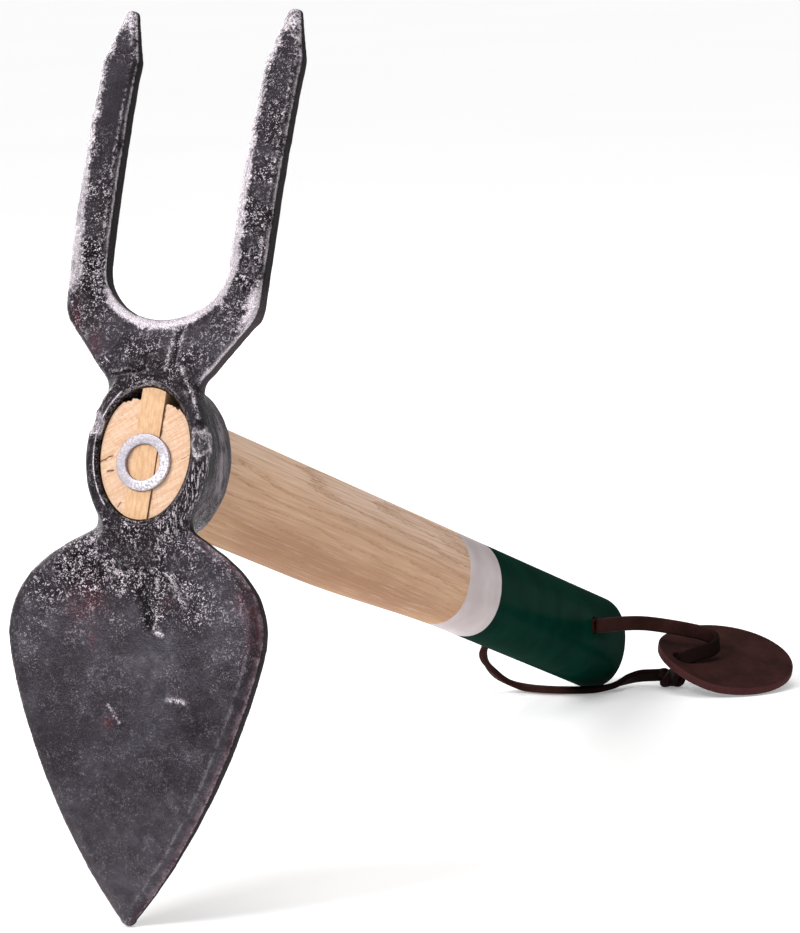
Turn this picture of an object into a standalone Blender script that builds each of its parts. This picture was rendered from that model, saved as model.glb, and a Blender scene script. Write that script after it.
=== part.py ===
"""A hand double hoe: a forged head with a two-tine fork and a heart-shaped blade on an oval-eyed ash handle.

Metres, +Z up. The tool stands on the tip of its blade and the low edge of its handle, head to -Y.
Head and handle are drawn in the head's own frame: x across, y back along the handle from the rim of
the eye, z up along the fork from the middle of the eye. An empty turns that frame down to the floor.
"""

import math

import bmesh
import bpy
import numpy as np
from mathutils import Matrix, Vector

# The gap that a piece keeps to the one it seats in
CLEARANCE = 0.0003

# Eye: the oval collar that the handle is wedged into
EYE_WIDTH = 0.0262
EYE_HEIGHT = 0.0354
EYE_BACK_WIDTH = 0.0226
EYE_BACK_HEIGHT = 0.0322
EYE_DEPTH = 0.020
COLLAR_HALF_WIDTH = 0.0174
COLLAR_HALF_HEIGHT = 0.0234
COLLAR_BACK_HALF_WIDTH = 0.0171
COLLAR_BACK_HALF_HEIGHT = 0.0210
COLLAR_FRONT_ROUNDING = 0.0026
COLLAR_FRONT_ROUNDING_DEPTH = 0.0036
COLLAR_BACK_ROUNDING = 0.0014
EYE_CHAMFER = 0.0006
OVAL_STEPS = 64

# Necks: where fork and blade leave the eye
WAIST_HALF_WIDTH = 0.0133
WAIST_REACH = 0.0190
NECK_START = 0.010
NECK_THICKNESS = 0.0052
NECK_END = 0.022
FACE_START = 0.034

# Fork
FORK_FACE = 0.0023
FORK_NECK_PROUD = 0.0
TINE_SHOULDER_REACH = 0.1076
TINE_POINT_LENGTH = 0.0148
TINE_TIP_REACH = TINE_SHOULDER_REACH + TINE_POINT_LENGTH
TINE_WIDTH = 0.0106
TINE_TIP_WIDTH = 0.0040
TINE_GAP_AT_SHOULDER = 0.0366
TINE_GAP_AT_CROTCH = 0.0348
CROTCH_REACH = 0.0357
CROTCH_ROUND_HEIGHT = 0.0150
FORK_HIP_HALF_WIDTH = 0.0280
FORK_HIP_REACH = 0.0360
FORK_HIP_RADIUS = 0.0060
WAIST_RADIUS = 0.0025
YOKE_THICKNESS = 0.0062
TINE_THICKNESS = 0.0058
TINE_SHOULDER_THICKNESS = 0.0050
TINE_TIP_THICKNESS = 0.0032
TINE_BEVEL = 0.0016
TINE_BEVEL_DEPTH = 0.0010
FORK_BACK_CHAMFER = 0.0006
FORK_BEND_START = 0.0226
FORK_BEND_RADIUS = 0.335
TIP_ROUNDING = 0.0012

# Blade: its left flank is a little leaner than its right one, as forged
BLADE_FACE = 0.0039
BLADE_NECK_PROUD = 0.0011
BLADE_HALF_WIDTH = 0.0360
BLADE_WIDEST_REACH = 0.047
BLADE_TIP_REACH = 0.1206
BLADE_TIP_HALF_WIDTH = 0.0021
BLADE_TIP_ROUNDING = 0.0016
BLADE_SHOULDER_THICKNESS = 0.0050
BLADE_FLANK_THICKNESS = 0.0052
BLADE_FLANK_REACH = 0.082
BLADE_TIP_THICKNESS = 0.0028
BLADE_BEVEL = 0.0034
BLADE_BEVEL_DEPTH = 0.0013
BLADE_BACK_CHAMFER = 0.0005
BLADE_BEND_START = 0.040
BLADE_BEND_RADIUS = 0.270
# How far the pulls of the shoulder's and of the flank's curve reach, as shares of its rise and run
SHOULDER_LEAVES = (0.178, 0.126)
SHOULDER_ARRIVES = 0.388
FLANK_PULLS = (0.25, 0.626)
LEFT_FULLNESS = 0.50
RIGHT_FULLNESS = 0.56

# Handle
HANDLE_LENGTH = 0.357
HANDLE_RECESS = 0.0017
TENON_TOP = 0.0146
GRIP_WIDTH = 0.0209
GRIP_HEIGHT = 0.0278
GRIP_END_WIDTH = 0.0223
GRIP_END_HEIGHT = 0.0297
GRIP_RISE = 0.0008
BELLY_DEPTH = 0.0028
BELLY_START = 0.110
BELLY_END = 0.230
GRIP_START = 0.034
GRIP_SQUARENESS = 2.15
BUTT_ROUNDING = 0.0036
HANDLE_STEPS = 44

# Kerf and wooden wedge
WEDGE_FRONT_THICKNESS = 0.0066
WEDGE_BACK_THICKNESS = 0.0026
WEDGE_LENGTH = 0.0170
KERF_RELIEF = 0.0006
WEDGE_LEAN = math.radians(4)

# Ring wedge, a short conical steel tube
RING_DIAMETER = 0.015
RING_BORE = 0.0097
RING_BACK_DIAMETER = 0.0140
RING_BACK_BORE = 0.0118
RING_SET_BACK = 0.0004
RING_LENGTH = 0.0140
RING_DROP = 0.0024
RING_STEPS = 48

# Cross bore for the lace
BORE_FROM_BUTT = 0.0333
BORE_AT = HANDLE_LENGTH - BORE_FROM_BUTT
BORE_RISE = 0.0015
BORE_DIAMETER = 0.0056
BORE_STEPS = 28

# Leather lace, a flat strap
LACE_WIDTH = 0.0046
LACE_THICKNESS = 0.0020
LACE_STEP = 0.0062

# Leather tag, a disc with a hole for the lace, its rim beside the hole curled up a little
TAG_DIAMETER = 0.0438
TAG_THICKNESS = 0.0026
TAG_HOLE_DIAMETER = 0.0080
TAG_HOLE_OUT = 0.0150
TAG_CURL = 0.0010
TAG_CURL_REACH = 0.012
TAG_CENTRE = (0.0424, 0.0111, 0.0088)
TAG_TILT = math.radians(19.6)
TAG_LEAN_TO = math.radians(-42.8)
TAG_HOLE_TO = math.radians(-137)

# Knot of the lace's two ends, under the tag's rim
KNOT_SIZE = (0.0085, 0.0076, 0.0060)
KNOT_PLACE = (0.0253, 0.0068, 0.0031)

# The lace's free runs, from the handle's low edge on the floor: right, back and up, by hand
UPPER_ROUTE = (
    (0.0160, -0.0105, 0.0232),
    (0.0198, 0.0000, 0.0216),
    (0.0254, 0.0052, 0.0200),
    (0.0317, 0.0084, 0.0184),
    (0.0362, 0.0104, 0.0170),
    (0.0391, 0.0100, 0.0158),
    (0.0408, 0.0078, 0.0143),
    (0.0396, 0.0050, 0.0130),
    (0.0358, 0.0010, 0.0120),
    (0.0325, -0.0010, 0.0104),
    (0.0306, -0.0004, 0.0080),
    (0.0290, 0.0014, 0.0058),
    (0.0277, 0.0030, 0.0044),
)
UPPER_TILTS = (0.0, 0.0, 0.0, 0.0, 0.0, 0.0, 10.0, 35.0, 70.0, 80.0, 80.0, 60.0, 30.0)
LOWER_ROUTE = (
    (-0.0200, -0.0280, 0.0210),
    (-0.0261, -0.0267, 0.0150),
    (-0.0262, -0.0238, 0.0120),
    (-0.0260, -0.0175, 0.0070),
    (-0.0235, -0.0126, 0.0030),
    (-0.0190, -0.0107, 0.0014),
    (-0.0110, -0.0138, 0.0014),
    (-0.0023, -0.0131, 0.0014),
    (0.0050, -0.0103, 0.0014),
    (0.0095, -0.0055, 0.0016),
    (0.0115, 0.0020, 0.0024),
    (0.0150, 0.0060, 0.0032),
    (0.0206, 0.0068, 0.0032),
)
LOWER_TILTS = (0.0, 10.0, 20.0, 40.0, 70.0, 90.0, 90.0, 90.0, 90.0, 90.0, 75.0, 50.0, 20.0)


def clear_scene():
    """Remove the objects that the scene starts with."""
    for old in list(bpy.data.objects):
        bpy.data.objects.remove(old, do_unlink=True)


def material(name, colour, roughness, metallic):
    """A Principled material with one colour."""
    made = bpy.data.materials.new(name)
    made.use_nodes = True
    shader = made.node_tree.nodes["Principled BSDF"]
    shader.inputs["Base Color"].default_value = (*colour, 1.0)
    shader.inputs["Roughness"].default_value = roughness
    shader.inputs["Metallic"].default_value = metallic
    return made


def place(name, mesh, finish, parent):
    """Link a mesh or curve as a named object of one material, under a parent."""
    made = bpy.data.objects.new(name, mesh)
    bpy.context.scene.collection.objects.link(made)
    made.parent = parent
    if finish:
        mesh.materials.append(finish)
    return made


def solid(name, points, faces, finish, parent):
    """A closed mesh object whose faces look outward."""
    mesh = bpy.data.meshes.new(name)
    mesh.from_pydata([tuple(p) for p in points], [], faces)
    form = bmesh.new()
    form.from_mesh(mesh)
    bmesh.ops.recalc_face_normals(form, faces=form.faces)
    form.to_mesh(mesh)
    form.free()
    mesh.shade_smooth()
    mesh.set_sharp_from_angle(angle=math.radians(35))
    return place(name, mesh, finish, parent)


def loft(rows):
    """Points and faces of a solid whose skin runs through equal closed rows, with both ends capped."""
    count = len(rows[0])
    points = np.concatenate(rows)
    faces = []
    for i in range(len(rows) - 1):
        for j in range(count):
            k = (j + 1) % count
            faces.append((i * count + j, i * count + k, (i + 1) * count + k, (i + 1) * count + j))
    faces.append(tuple(range(count)))
    faces.append(tuple((len(rows) - 1) * count + j for j in range(count)))
    return points, faces


def ringed(rows):
    """Points and faces of a ring-like solid whose closed rows come round to the first one again."""
    count, turns = len(rows[0]), len(rows)
    points = np.concatenate(rows)
    faces = []
    for i in range(turns):
        n = (i + 1) % turns
        for j in range(count):
            k = (j + 1) % count
            faces.append((i * count + j, i * count + k, n * count + k, n * count + j))
    return points, faces


def cutter(name, points, faces, parent):
    """A solid that only cuts others."""
    made = solid(name, points, faces, None, parent)
    made.hide_render = True
    made.display_type = "WIRE"
    return made


def join_or_cut(target, other, operation):
    """Put a Boolean on the target and keep the other solid as its helper."""
    step = target.modifiers.new(other.name, "BOOLEAN")
    step.operation = operation
    step.object = other
    step.solver = "EXACT"
    other.hide_render = True
    other.display_type = "WIRE"


def ease(value, start, end):
    """Rise from 0 at start to 1 at end, level at both."""
    share = np.clip((np.asarray(value) - start) / (end - start), 0, 1)
    return share * share * (3 - 2 * share)


def bezier(a, b, c, d, steps):
    """Points of a cubic curve from a to d, without the last one."""
    t = np.linspace(0, 1, steps, endpoint=False)[:, None]
    a, b, c, d = (np.array(p) for p in (a, b, c, d))
    return (1 - t) ** 3 * a + 3 * (1 - t) ** 2 * t * b + 3 * (1 - t) * t * t * c + t**3 * d


def oval(half_width, half_height, y, steps, power=2.0, top=None, rise=0.0):
    """A closed oval row at depth y; top gives its upper half another height."""
    turn = np.linspace(0, 2 * math.pi, steps, endpoint=False)
    across = np.sign(np.cos(turn)) * np.abs(np.cos(turn)) ** (2 / power)
    along = np.sign(np.sin(turn)) * np.abs(np.sin(turn)) ** (2 / power)
    heights = np.where(along > 0, half_height if top is None else top, half_height)
    return np.stack([across * half_width, np.full(steps, y), along * heights + rise], -1)


def face_depth(reach, level, neck_proud, bend_start, bend_radius):
    """How far the front of fork or blade lies behind the eye's rim, at a reach from the eye's middle.

    The neck stands proud of the face's level, and past the start of the bend the face curves back
    to the handle as an arc.
    """
    reach = np.abs(np.asarray(reach, float))
    neck = neck_proud * (1 - ease(reach, NECK_END, FACE_START))
    past = np.maximum(reach - bend_start, 0)
    return level - neck + bend_radius - np.sqrt(bend_radius**2 - past**2)


def plate_row(edge_a, edge_b, front, thickness, bevel, bevel_depth, chamfer):
    """One closed section of a plate between two edge points in the plane of the face.

    It has a bevel on each front edge, a chamfer on each back edge and two more points on each face.
    front and thickness give both depths at a reach.
    """
    a, b = np.array(edge_a, float), np.array(edge_b, float)
    width = np.linalg.norm(b - a)
    bevel = min(bevel, 0.3 * width)
    chamfer = min(chamfer, 0.3 * width)
    shares = np.array([0, *np.linspace(bevel, width - bevel, 4) / width, 1])
    sunk = np.array([bevel_depth, 0, 0, 0, 0, bevel_depth])
    back_shares = np.array([1, *np.linspace(width - chamfer, chamfer, 4) / width, 0])
    back_sunk = np.array([chamfer, 0, 0, 0, 0, chamfer])
    row = []
    for share, depth in zip(shares, sunk):
        x, z = a + (b - a) * share
        row.append((x, front(z) + depth, z))
    for share, depth in zip(back_shares, back_sunk):
        x, z = a + (b - a) * share
        row.append((x, front(z) + thickness(z) - depth, z))
    return np.array(row, float)


def eye_half_sizes(y):
    """Half width and half height of the eye's opening at a depth."""
    share = y / EYE_DEPTH
    width = EYE_WIDTH + (EYE_BACK_WIDTH - EYE_WIDTH) * share
    height = EYE_HEIGHT + (EYE_BACK_HEIGHT - EYE_HEIGHT) * share
    return width / 2, height / 2


def collar_blank():
    """The eye before it is punched: an oval boss with a domed front rim, slightly smaller at the back."""
    profile = []
    for turn in np.linspace(0, math.pi / 2, 6):
        inset = COLLAR_FRONT_ROUNDING * (1 - math.sin(turn))
        profile.append((inset, COLLAR_FRONT_ROUNDING_DEPTH * (1 - math.cos(turn))))
    for turn in np.linspace(0, math.pi / 2, 4):
        inset = COLLAR_BACK_ROUNDING * (1 - math.cos(turn))
        profile.append((inset, EYE_DEPTH - COLLAR_BACK_ROUNDING * (1 - math.sin(turn))))
    rows = []
    for inset, y in profile:
        share = y / EYE_DEPTH
        half_width = COLLAR_HALF_WIDTH + (COLLAR_BACK_HALF_WIDTH - COLLAR_HALF_WIDTH) * share
        half_height = COLLAR_HALF_HEIGHT + (COLLAR_BACK_HALF_HEIGHT - COLLAR_HALF_HEIGHT) * share
        rows.append(oval(half_width - inset, half_height - inset, y, OVAL_STEPS))
    return loft(rows)


def eye_opening():
    """What the drift punches out: the tapered oval, with a small chamfer at the front rim."""
    front_width, front_height = eye_half_sizes(0)
    rows = []
    for y in (-2 * EYE_CHAMFER, EYE_CHAMFER):
        spread = EYE_CHAMFER - y
        rows.append(oval(front_width + spread, front_height + spread, y, OVAL_STEPS))
    for y in (EYE_DEPTH * 0.5, EYE_DEPTH * 1.2):
        rows.append(oval(*eye_half_sizes(y), y, OVAL_STEPS))
    return loft(rows)


def blade_front(z):
    """Depth of the blade's face at a reach."""
    return face_depth(z, BLADE_FACE, BLADE_NECK_PROUD, BLADE_BEND_START, BLADE_BEND_RADIUS)


def blade_thickness(z):
    """Thick at the neck, even along the shoulders and flanks and thinnest at the tip."""
    reaches = (WAIST_REACH, FACE_START, BLADE_FLANK_REACH, BLADE_TIP_REACH)
    sizes = (NECK_THICKNESS, BLADE_SHOULDER_THICKNESS, BLADE_FLANK_THICKNESS, BLADE_TIP_THICKNESS)
    return float(np.interp(abs(z), reaches, sizes))


def blade_edge(fullness):
    """(half width, reach) down one side: neck, round shoulder, long flank, blunt point."""
    rise, run = BLADE_HALF_WIDTH - WAIST_HALF_WIDTH, BLADE_WIDEST_REACH - WAIST_REACH
    shoulder = bezier(
        (WAIST_HALF_WIDTH, WAIST_REACH),
        (WAIST_HALF_WIDTH + SHOULDER_LEAVES[0] * rise, WAIST_REACH + SHOULDER_LEAVES[1] * run),
        (BLADE_HALF_WIDTH, WAIST_REACH + SHOULDER_ARRIVES * run),
        (BLADE_HALF_WIDTH, BLADE_WIDEST_REACH),
        14,
    )
    point_reach = BLADE_TIP_REACH - BLADE_TIP_ROUNDING
    run = point_reach - BLADE_WIDEST_REACH
    flank = bezier(
        (BLADE_HALF_WIDTH, BLADE_WIDEST_REACH),
        (BLADE_HALF_WIDTH, BLADE_WIDEST_REACH + FLANK_PULLS[0] * run),
        (BLADE_HALF_WIDTH * fullness, BLADE_WIDEST_REACH + FLANK_PULLS[1] * run),
        (BLADE_TIP_HALF_WIDTH, point_reach),
        22,
    )
    neck = [(WAIST_HALF_WIDTH, NECK_START), (WAIST_HALF_WIDTH, (NECK_START + WAIST_REACH) / 2)]
    point = []
    for turn in np.linspace(0, math.pi / 2, 4)[:-1]:
        half = BLADE_TIP_HALF_WIDTH * math.cos(turn)
        point.append((half, point_reach + BLADE_TIP_ROUNDING * math.sin(turn)))
    return [*neck, *(tuple(p) for p in shoulder), *(tuple(p) for p in flank), *point]


def blade():
    """The heart-shaped blade, lofted from the eye to its blunt point."""
    rows = []
    for (left, reach), (right, _) in zip(blade_edge(LEFT_FULLNESS), blade_edge(RIGHT_FULLNESS)):
        shaped = ease(reach, WAIST_REACH, BLADE_WIDEST_REACH)
        bevel = TINE_BEVEL + (BLADE_BEVEL - TINE_BEVEL) * shaped
        rows.append(
            plate_row((-left, -reach), (right, -reach), blade_front, blade_thickness,
                      bevel, BLADE_BEVEL_DEPTH, BLADE_BACK_CHAMFER)
        )
    return loft(rows)


def fork_front(z):
    """Depth of the fork's face at a reach."""
    return face_depth(z, FORK_FACE, FORK_NECK_PROUD, FORK_BEND_START, FORK_BEND_RADIUS)


def fork_thickness(z):
    """Thick at the neck, even along the tines and thin at their points."""
    reaches = (FACE_START, FORK_HIP_REACH, FORK_HIP_REACH + CROTCH_REACH, TINE_SHOULDER_REACH, TINE_TIP_REACH)
    sizes = (NECK_THICKNESS, YOKE_THICKNESS, TINE_THICKNESS, TINE_SHOULDER_THICKNESS, TINE_TIP_THICKNESS)
    return float(np.interp(z, reaches, sizes))


def rounded_corners(corners, radii, steps):
    """A polyline whose inner corners are turned as arcs, as evenly spaced points, ends included."""
    corners = [np.array(c, float) for c in corners]
    dense = [corners[0]]
    for before, corner, after, radius in zip(corners, corners[1:], corners[2:], radii):
        back = (before - corner) / np.linalg.norm(before - corner)
        ahead = (after - corner) / np.linalg.norm(after - corner)
        half = math.acos(np.clip(back @ ahead, -1, 1)) / 2
        middle = back + ahead
        centre = corner + middle / np.linalg.norm(middle) * radius / math.sin(half)
        start, end = (corner + way * radius / math.tan(half) - centre for way in (back, ahead))
        for share in np.linspace(0, 1, 9):
            turned = start * (1 - share) + end * share
            dense.append(centre + turned / np.linalg.norm(turned) * radius)
    dense.append(corners[-1])
    dense = np.array(dense)
    run = np.concatenate([[0], np.cumsum(np.linalg.norm(np.diff(dense, axis=0), axis=1))])
    at = np.linspace(0, run[-1], steps)
    return np.stack([np.interp(at, run, dense[:, k]) for k in (0, 1)], -1)


def fork_edges():
    """(inner point, outer point) pairs of the right half of the fork, from the tip to the middle."""
    inner_shoulder = TINE_GAP_AT_SHOULDER / 2
    inner_crotch = TINE_GAP_AT_CROTCH / 2
    straight_end = CROTCH_REACH + CROTCH_ROUND_HEIGHT
    outer_crotch = inner_crotch + TINE_WIDTH
    pairs = []
    middle = inner_shoulder + TINE_WIDTH / 2
    for turn in np.linspace(math.pi / 2, 0, 4)[1:]:
        half = TINE_TIP_WIDTH / 2 * math.cos(turn)
        reach = TINE_TIP_REACH - TIP_ROUNDING * (1 - math.sin(turn))
        pairs.append(((middle - half, reach), (middle + half, reach)))
    for share in np.linspace(0, 1, 5)[1:]:
        half = (TINE_TIP_WIDTH + (TINE_WIDTH - TINE_TIP_WIDTH) * share) / 2
        reach = TINE_TIP_REACH - TIP_ROUNDING
        reach += (TINE_SHOULDER_REACH - reach) * share
        pairs.append(((middle - half, reach), (middle + half, reach)))
    for share in np.linspace(0, 1, 9)[1:-1]:
        inner = inner_shoulder + (inner_crotch - inner_shoulder) * share
        reach = TINE_SHOULDER_REACH + (straight_end - TINE_SHOULDER_REACH) * share
        pairs.append(((inner, reach), (inner + TINE_WIDTH, reach)))
    steps = 18
    outer = rounded_corners(
        ((outer_crotch, straight_end), (FORK_HIP_HALF_WIDTH, FORK_HIP_REACH),
         (WAIST_HALF_WIDTH, WAIST_REACH), (WAIST_HALF_WIDTH, NECK_START), (0.0, NECK_START)),
        (FORK_HIP_RADIUS, WAIST_RADIUS, WAIST_RADIUS),
        steps,
    )
    for turn, edge in zip(np.linspace(0, math.pi / 2, steps), outer):
        inner = (inner_crotch * math.cos(turn), straight_end - CROTCH_ROUND_HEIGHT * math.sin(turn))
        pairs.append((inner, tuple(edge)))
    return pairs


def fork():
    """The two tines and their yoke, lofted from one tip round the crotch to the other."""
    right = []
    for inner, outer in fork_edges():
        depth = min(TINE_BEVEL_DEPTH, 0.4 * fork_thickness(inner[1]))
        right.append(
            plate_row(inner, outer, fork_front, fork_thickness, TINE_BEVEL, depth, FORK_BACK_CHAMFER)
        )
    left = [row * np.array((-1, 1, 1)) for row in reversed(right[:-1])]
    return loft([*right, *left])


def forged_head(finish, frame):
    """One forging: the eye with the fork above it and the blade below it."""
    head = solid("forged_head", *collar_blank(), finish, frame)
    join_or_cut(head, solid("blade_blank", *blade(), None, frame), "UNION")
    join_or_cut(head, solid("fork_blank", *fork(), None, frame), "UNION")
    join_or_cut(head, cutter("eye_drift", *eye_opening(), frame), "DIFFERENCE")
    return head


def handle_row(y, inset=0.0):
    """A section of the handle at a depth: it fills the eye, has a belly behind it and swells to the butt."""
    share = np.clip((y - GRIP_START) / (HANDLE_LENGTH - GRIP_START), 0, 1)
    grip_width = (GRIP_WIDTH + (GRIP_END_WIDTH - GRIP_WIDTH) * share) / 2
    grip_height = (GRIP_HEIGHT + (GRIP_END_HEIGHT - GRIP_HEIGHT) * share) / 2
    eye_width, eye_height = eye_half_sizes(min(y, EYE_DEPTH))
    left_eye = float(ease(y, EYE_DEPTH, GRIP_START))
    eye_width, eye_height = eye_width - CLEARANCE, eye_height - CLEARANCE
    half_width = eye_width + (grip_width - eye_width) * left_eye - inset
    rise = GRIP_RISE * (1 - share)
    belly = BELLY_DEPTH * (1 - float(ease(y, BELLY_START, BELLY_END)))
    low = eye_height + (grip_height - rise + belly - eye_height) * left_eye - inset
    top = TENON_TOP + (grip_height + rise - TENON_TOP) * left_eye - inset
    power = 2 + (GRIP_SQUARENESS - 2) * left_eye
    return oval(half_width, low, y, HANDLE_STEPS, power, top)


def handle_blank():
    """The turned and shaved ash handle, from its front face in the eye to the rounded butt."""
    rows = [handle_row(y) for y in np.linspace(HANDLE_RECESS, EYE_DEPTH, 4)]
    rows += [handle_row(y) for y in np.linspace(EYE_DEPTH, GRIP_START, 6)[1:]]
    straight = HANDLE_LENGTH - BUTT_ROUNDING
    rows += [handle_row(y) for y in np.linspace(GRIP_START, straight, 15)[1:]]
    for turn in np.linspace(0, math.pi / 2, 6)[1:]:
        y = straight + BUTT_ROUNDING * math.sin(turn)
        rows.append(handle_row(y, BUTT_ROUNDING * (1 - math.cos(turn))))
    return loft(rows)


def wedge_half_thickness(y):
    """Half of the wooden wedge's thickness at a depth, from its front face on."""
    share = (y - HANDLE_RECESS) / WEDGE_LENGTH
    return (WEDGE_FRONT_THICKNESS + (WEDGE_BACK_THICKNESS - WEDGE_FRONT_THICKNESS) * share) / 2


def leaned(across, y, along):
    """A point of the wedge's own plane set into the eye, its top leaning to the right."""
    x = across * math.cos(WEDGE_LEAN) + along * math.sin(WEDGE_LEAN)
    return x, y, along * math.cos(WEDGE_LEAN) - across * math.sin(WEDGE_LEAN)


def kerf():
    """The saw kerf as the wedge has spread it, open at the front, above and below."""
    rows = []
    for y in (HANDLE_RECESS - EYE_DEPTH / 4, HANDLE_RECESS + WEDGE_LENGTH + KERF_RELIEF):
        half = wedge_half_thickness(y) + CLEARANCE
        corners = ((-1, -1), (1, -1), (1, 1), (-1, 1))
        rows.append(np.array([leaned(s * half, y, t * EYE_HEIGHT) for s, t in corners]))
    return loft(rows)


def wedge_end(across, y, side):
    """How far the wedge runs up (side 1) or down (side -1) its own line before it meets the eye."""
    width, height = (half - CLEARANCE for half in eye_half_sizes(y))
    low, high = 0.0, 2 * height
    for _ in range(30):
        middle = (low + high) / 2
        x, _, z = leaned(across, y, side * middle)
        inside = (x / width) ** 2 + (z / height) ** 2 < 1
        low, high = (middle, high) if inside else (low, middle)
    return side * low


def wedge_blank():
    """The wooden wedge: its top and bottom follow the round ends of the eye."""
    rows = []
    for y in np.linspace(HANDLE_RECESS, HANDLE_RECESS + WEDGE_LENGTH, 4):
        half = wedge_half_thickness(y)
        across = np.linspace(-half, half, 5)
        low = [leaned(u, y, wedge_end(u, y, -1)) for u in across]
        high = [leaned(u, y, wedge_end(u, y, 1)) for u in across[::-1]]
        rows.append(np.array([*low, *high]))
    return loft(rows)


def ring_rows(front, back, outer, inner, grow):
    """Sections of a conical tube round the handle's line; grow is the room round it for its groove."""
    share = np.array([(front - RING_SET_BACK) / RING_LENGTH, (back - RING_SET_BACK) / RING_LENGTH])
    outer_radii = (outer[0] + (outer[1] - outer[0]) * share) / 2 + grow
    inner_radii = (inner[0] + (inner[1] - inner[0]) * share) / 2 - grow
    rows = []
    for turn in np.linspace(0, 2 * math.pi, RING_STEPS, endpoint=False):
        way = np.array((math.cos(turn), 0, math.sin(turn)))
        centre = np.array((0, 0, -RING_DROP))
        corners = ((inner_radii[0], front), (outer_radii[0], front), (outer_radii[1], back), (inner_radii[1], back))
        rows.append(np.array([centre + way * radius + np.array((0, y, 0)) for radius, y in corners]))
    return rows


def ring_shape(front, back, grow):
    """The ring wedge, or its groove, between two depths."""
    outer = (RING_DIAMETER, RING_BACK_DIAMETER)
    inner = (RING_BORE, RING_BACK_BORE)
    return ringed(ring_rows(front, back, outer, inner, grow))


def ring_groove(name, frame):
    """What the ring wedge displaces in the wood."""
    back = RING_SET_BACK + RING_LENGTH + CLEARANCE
    return cutter(name, *ring_shape(-HANDLE_RECESS, back, CLEARANCE), frame)


def cross_bore(frame):
    """The bore across the handle that the lace runs through."""
    half = GRIP_END_WIDTH
    rows = []
    for x in (-half, half):
        turn = np.linspace(0, 2 * math.pi, BORE_STEPS, endpoint=False)
        round_y = BORE_AT + np.cos(turn) * BORE_DIAMETER / 2
        round_z = BORE_RISE + np.sin(turn) * BORE_DIAMETER / 2
        rows.append(np.stack([np.full(BORE_STEPS, x), round_y, round_z], -1))
    return cutter("bore_drill", *loft(rows), frame)


def handle(finish, frame):
    """The ash handle with its kerf, the ring's groove and the cross bore."""
    made = solid("handle", *handle_blank(), finish, frame)
    join_or_cut(made, cutter("kerf_saw", *kerf(), frame), "DIFFERENCE")
    join_or_cut(made, ring_groove("handle_groove", frame), "DIFFERENCE")
    join_or_cut(made, cross_bore(frame), "DIFFERENCE")
    return made


def wooden_wedge(finish, frame):
    """The wedge that spreads the handle's two cheeks in the eye, cut through by the ring."""
    made = solid("wooden_wedge", *wedge_blank(), finish, frame)
    join_or_cut(made, ring_groove("wedge_groove", frame), "DIFFERENCE")
    return made


def ring_wedge(finish, frame):
    """The steel ring that is driven across handle and wedge."""
    shape = ring_shape(RING_SET_BACK, RING_SET_BACK + RING_LENGTH, 0.0)
    return solid("ring_wedge", *shape, finish, frame)


def lowest(points, pitch):
    """The lowest of some points of the head's frame, as (depth, rise), once it is pitched down."""
    heights = points[:, 2] * math.cos(pitch) - points[:, 1] * math.sin(pitch)
    return points[heights.argmin()][1:]


def rest_pitch():
    """The angle that the handle dips by when the blade's tip and the handle's butt both touch the floor."""
    blade_points, handle_points = blade()[0], handle_blank()[0]
    pitch = 0.3
    for _ in range(8):
        tip, butt = lowest(blade_points, pitch), lowest(handle_points, pitch)
        pitch = math.atan2(butt[1] - tip[1], butt[0] - tip[0])
    return pitch


def pitched(points, pitch):
    """Points of the head's frame turned down by the pitch about the x axis."""
    y = points[:, 1] * math.cos(pitch) + points[:, 2] * math.sin(pitch)
    z = points[:, 2] * math.cos(pitch) - points[:, 1] * math.sin(pitch)
    return np.stack([points[:, 0], y, z], -1)


def tool_frame():
    """The empty that carries head and handle, and the place of the handle's low edge on the floor.

    The origin of the part is on the floor under the middle of head and handle.
    """
    pitch = rest_pitch()
    blanks = (collar_blank(), blade(), fork(), handle_blank())
    all_points = pitched(np.concatenate([points for points, _ in blanks]), pitch)
    middle = (all_points[:, 1].min() + all_points[:, 1].max()) / 2
    floor = all_points[:, 2].min()
    frame = bpy.data.objects.new("tool_frame", None)
    bpy.context.scene.collection.objects.link(frame)
    frame.rotation_euler = (-pitch, 0, 0)
    frame.location = (0, -middle, -floor)
    butt = lowest(handle_blank()[0], pitch)
    edge = pitched(np.array([(0.0, *butt)]), pitch)[0]
    contact = bpy.data.objects.new("butt_on_floor", None)
    bpy.context.scene.collection.objects.link(contact)
    contact.location = (0, edge[1] - middle, 0)
    return frame, contact


def smooth_route(points, spacing):
    """Points at about the given spacing on a smooth curve through the route's own points."""
    route = np.array(points, float)
    ends = [2 * route[0] - route[1], *route, 2 * route[-1] - route[-2]]
    dense, at = [], []
    for i in range(1, len(ends) - 2):
        a, b, c, d = (np.array(ends[i + k]) for k in (-1, 0, 1, 2))
        for t in np.linspace(0, 1, 12, endpoint=False):
            dense.append(0.5 * (2 * b + (c - a) * t + (2 * a - 5 * b + 4 * c - d) * t * t
                                + (3 * b - a - 3 * c + d) * t**3))
            at.append(i - 1 + t)
    dense.append(route[-1])
    at.append(len(route) - 1)
    dense = np.array(dense)
    run = np.concatenate([[0], np.cumsum(np.linalg.norm(np.diff(dense, axis=0), axis=1))])
    steps = np.linspace(0, run[-1], max(3, round(run[-1] / spacing) + 1))
    even = np.stack([np.interp(steps, run, dense[:, k]) for k in range(3)], -1)
    return even, np.interp(steps, run, at), run[-1]


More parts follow.
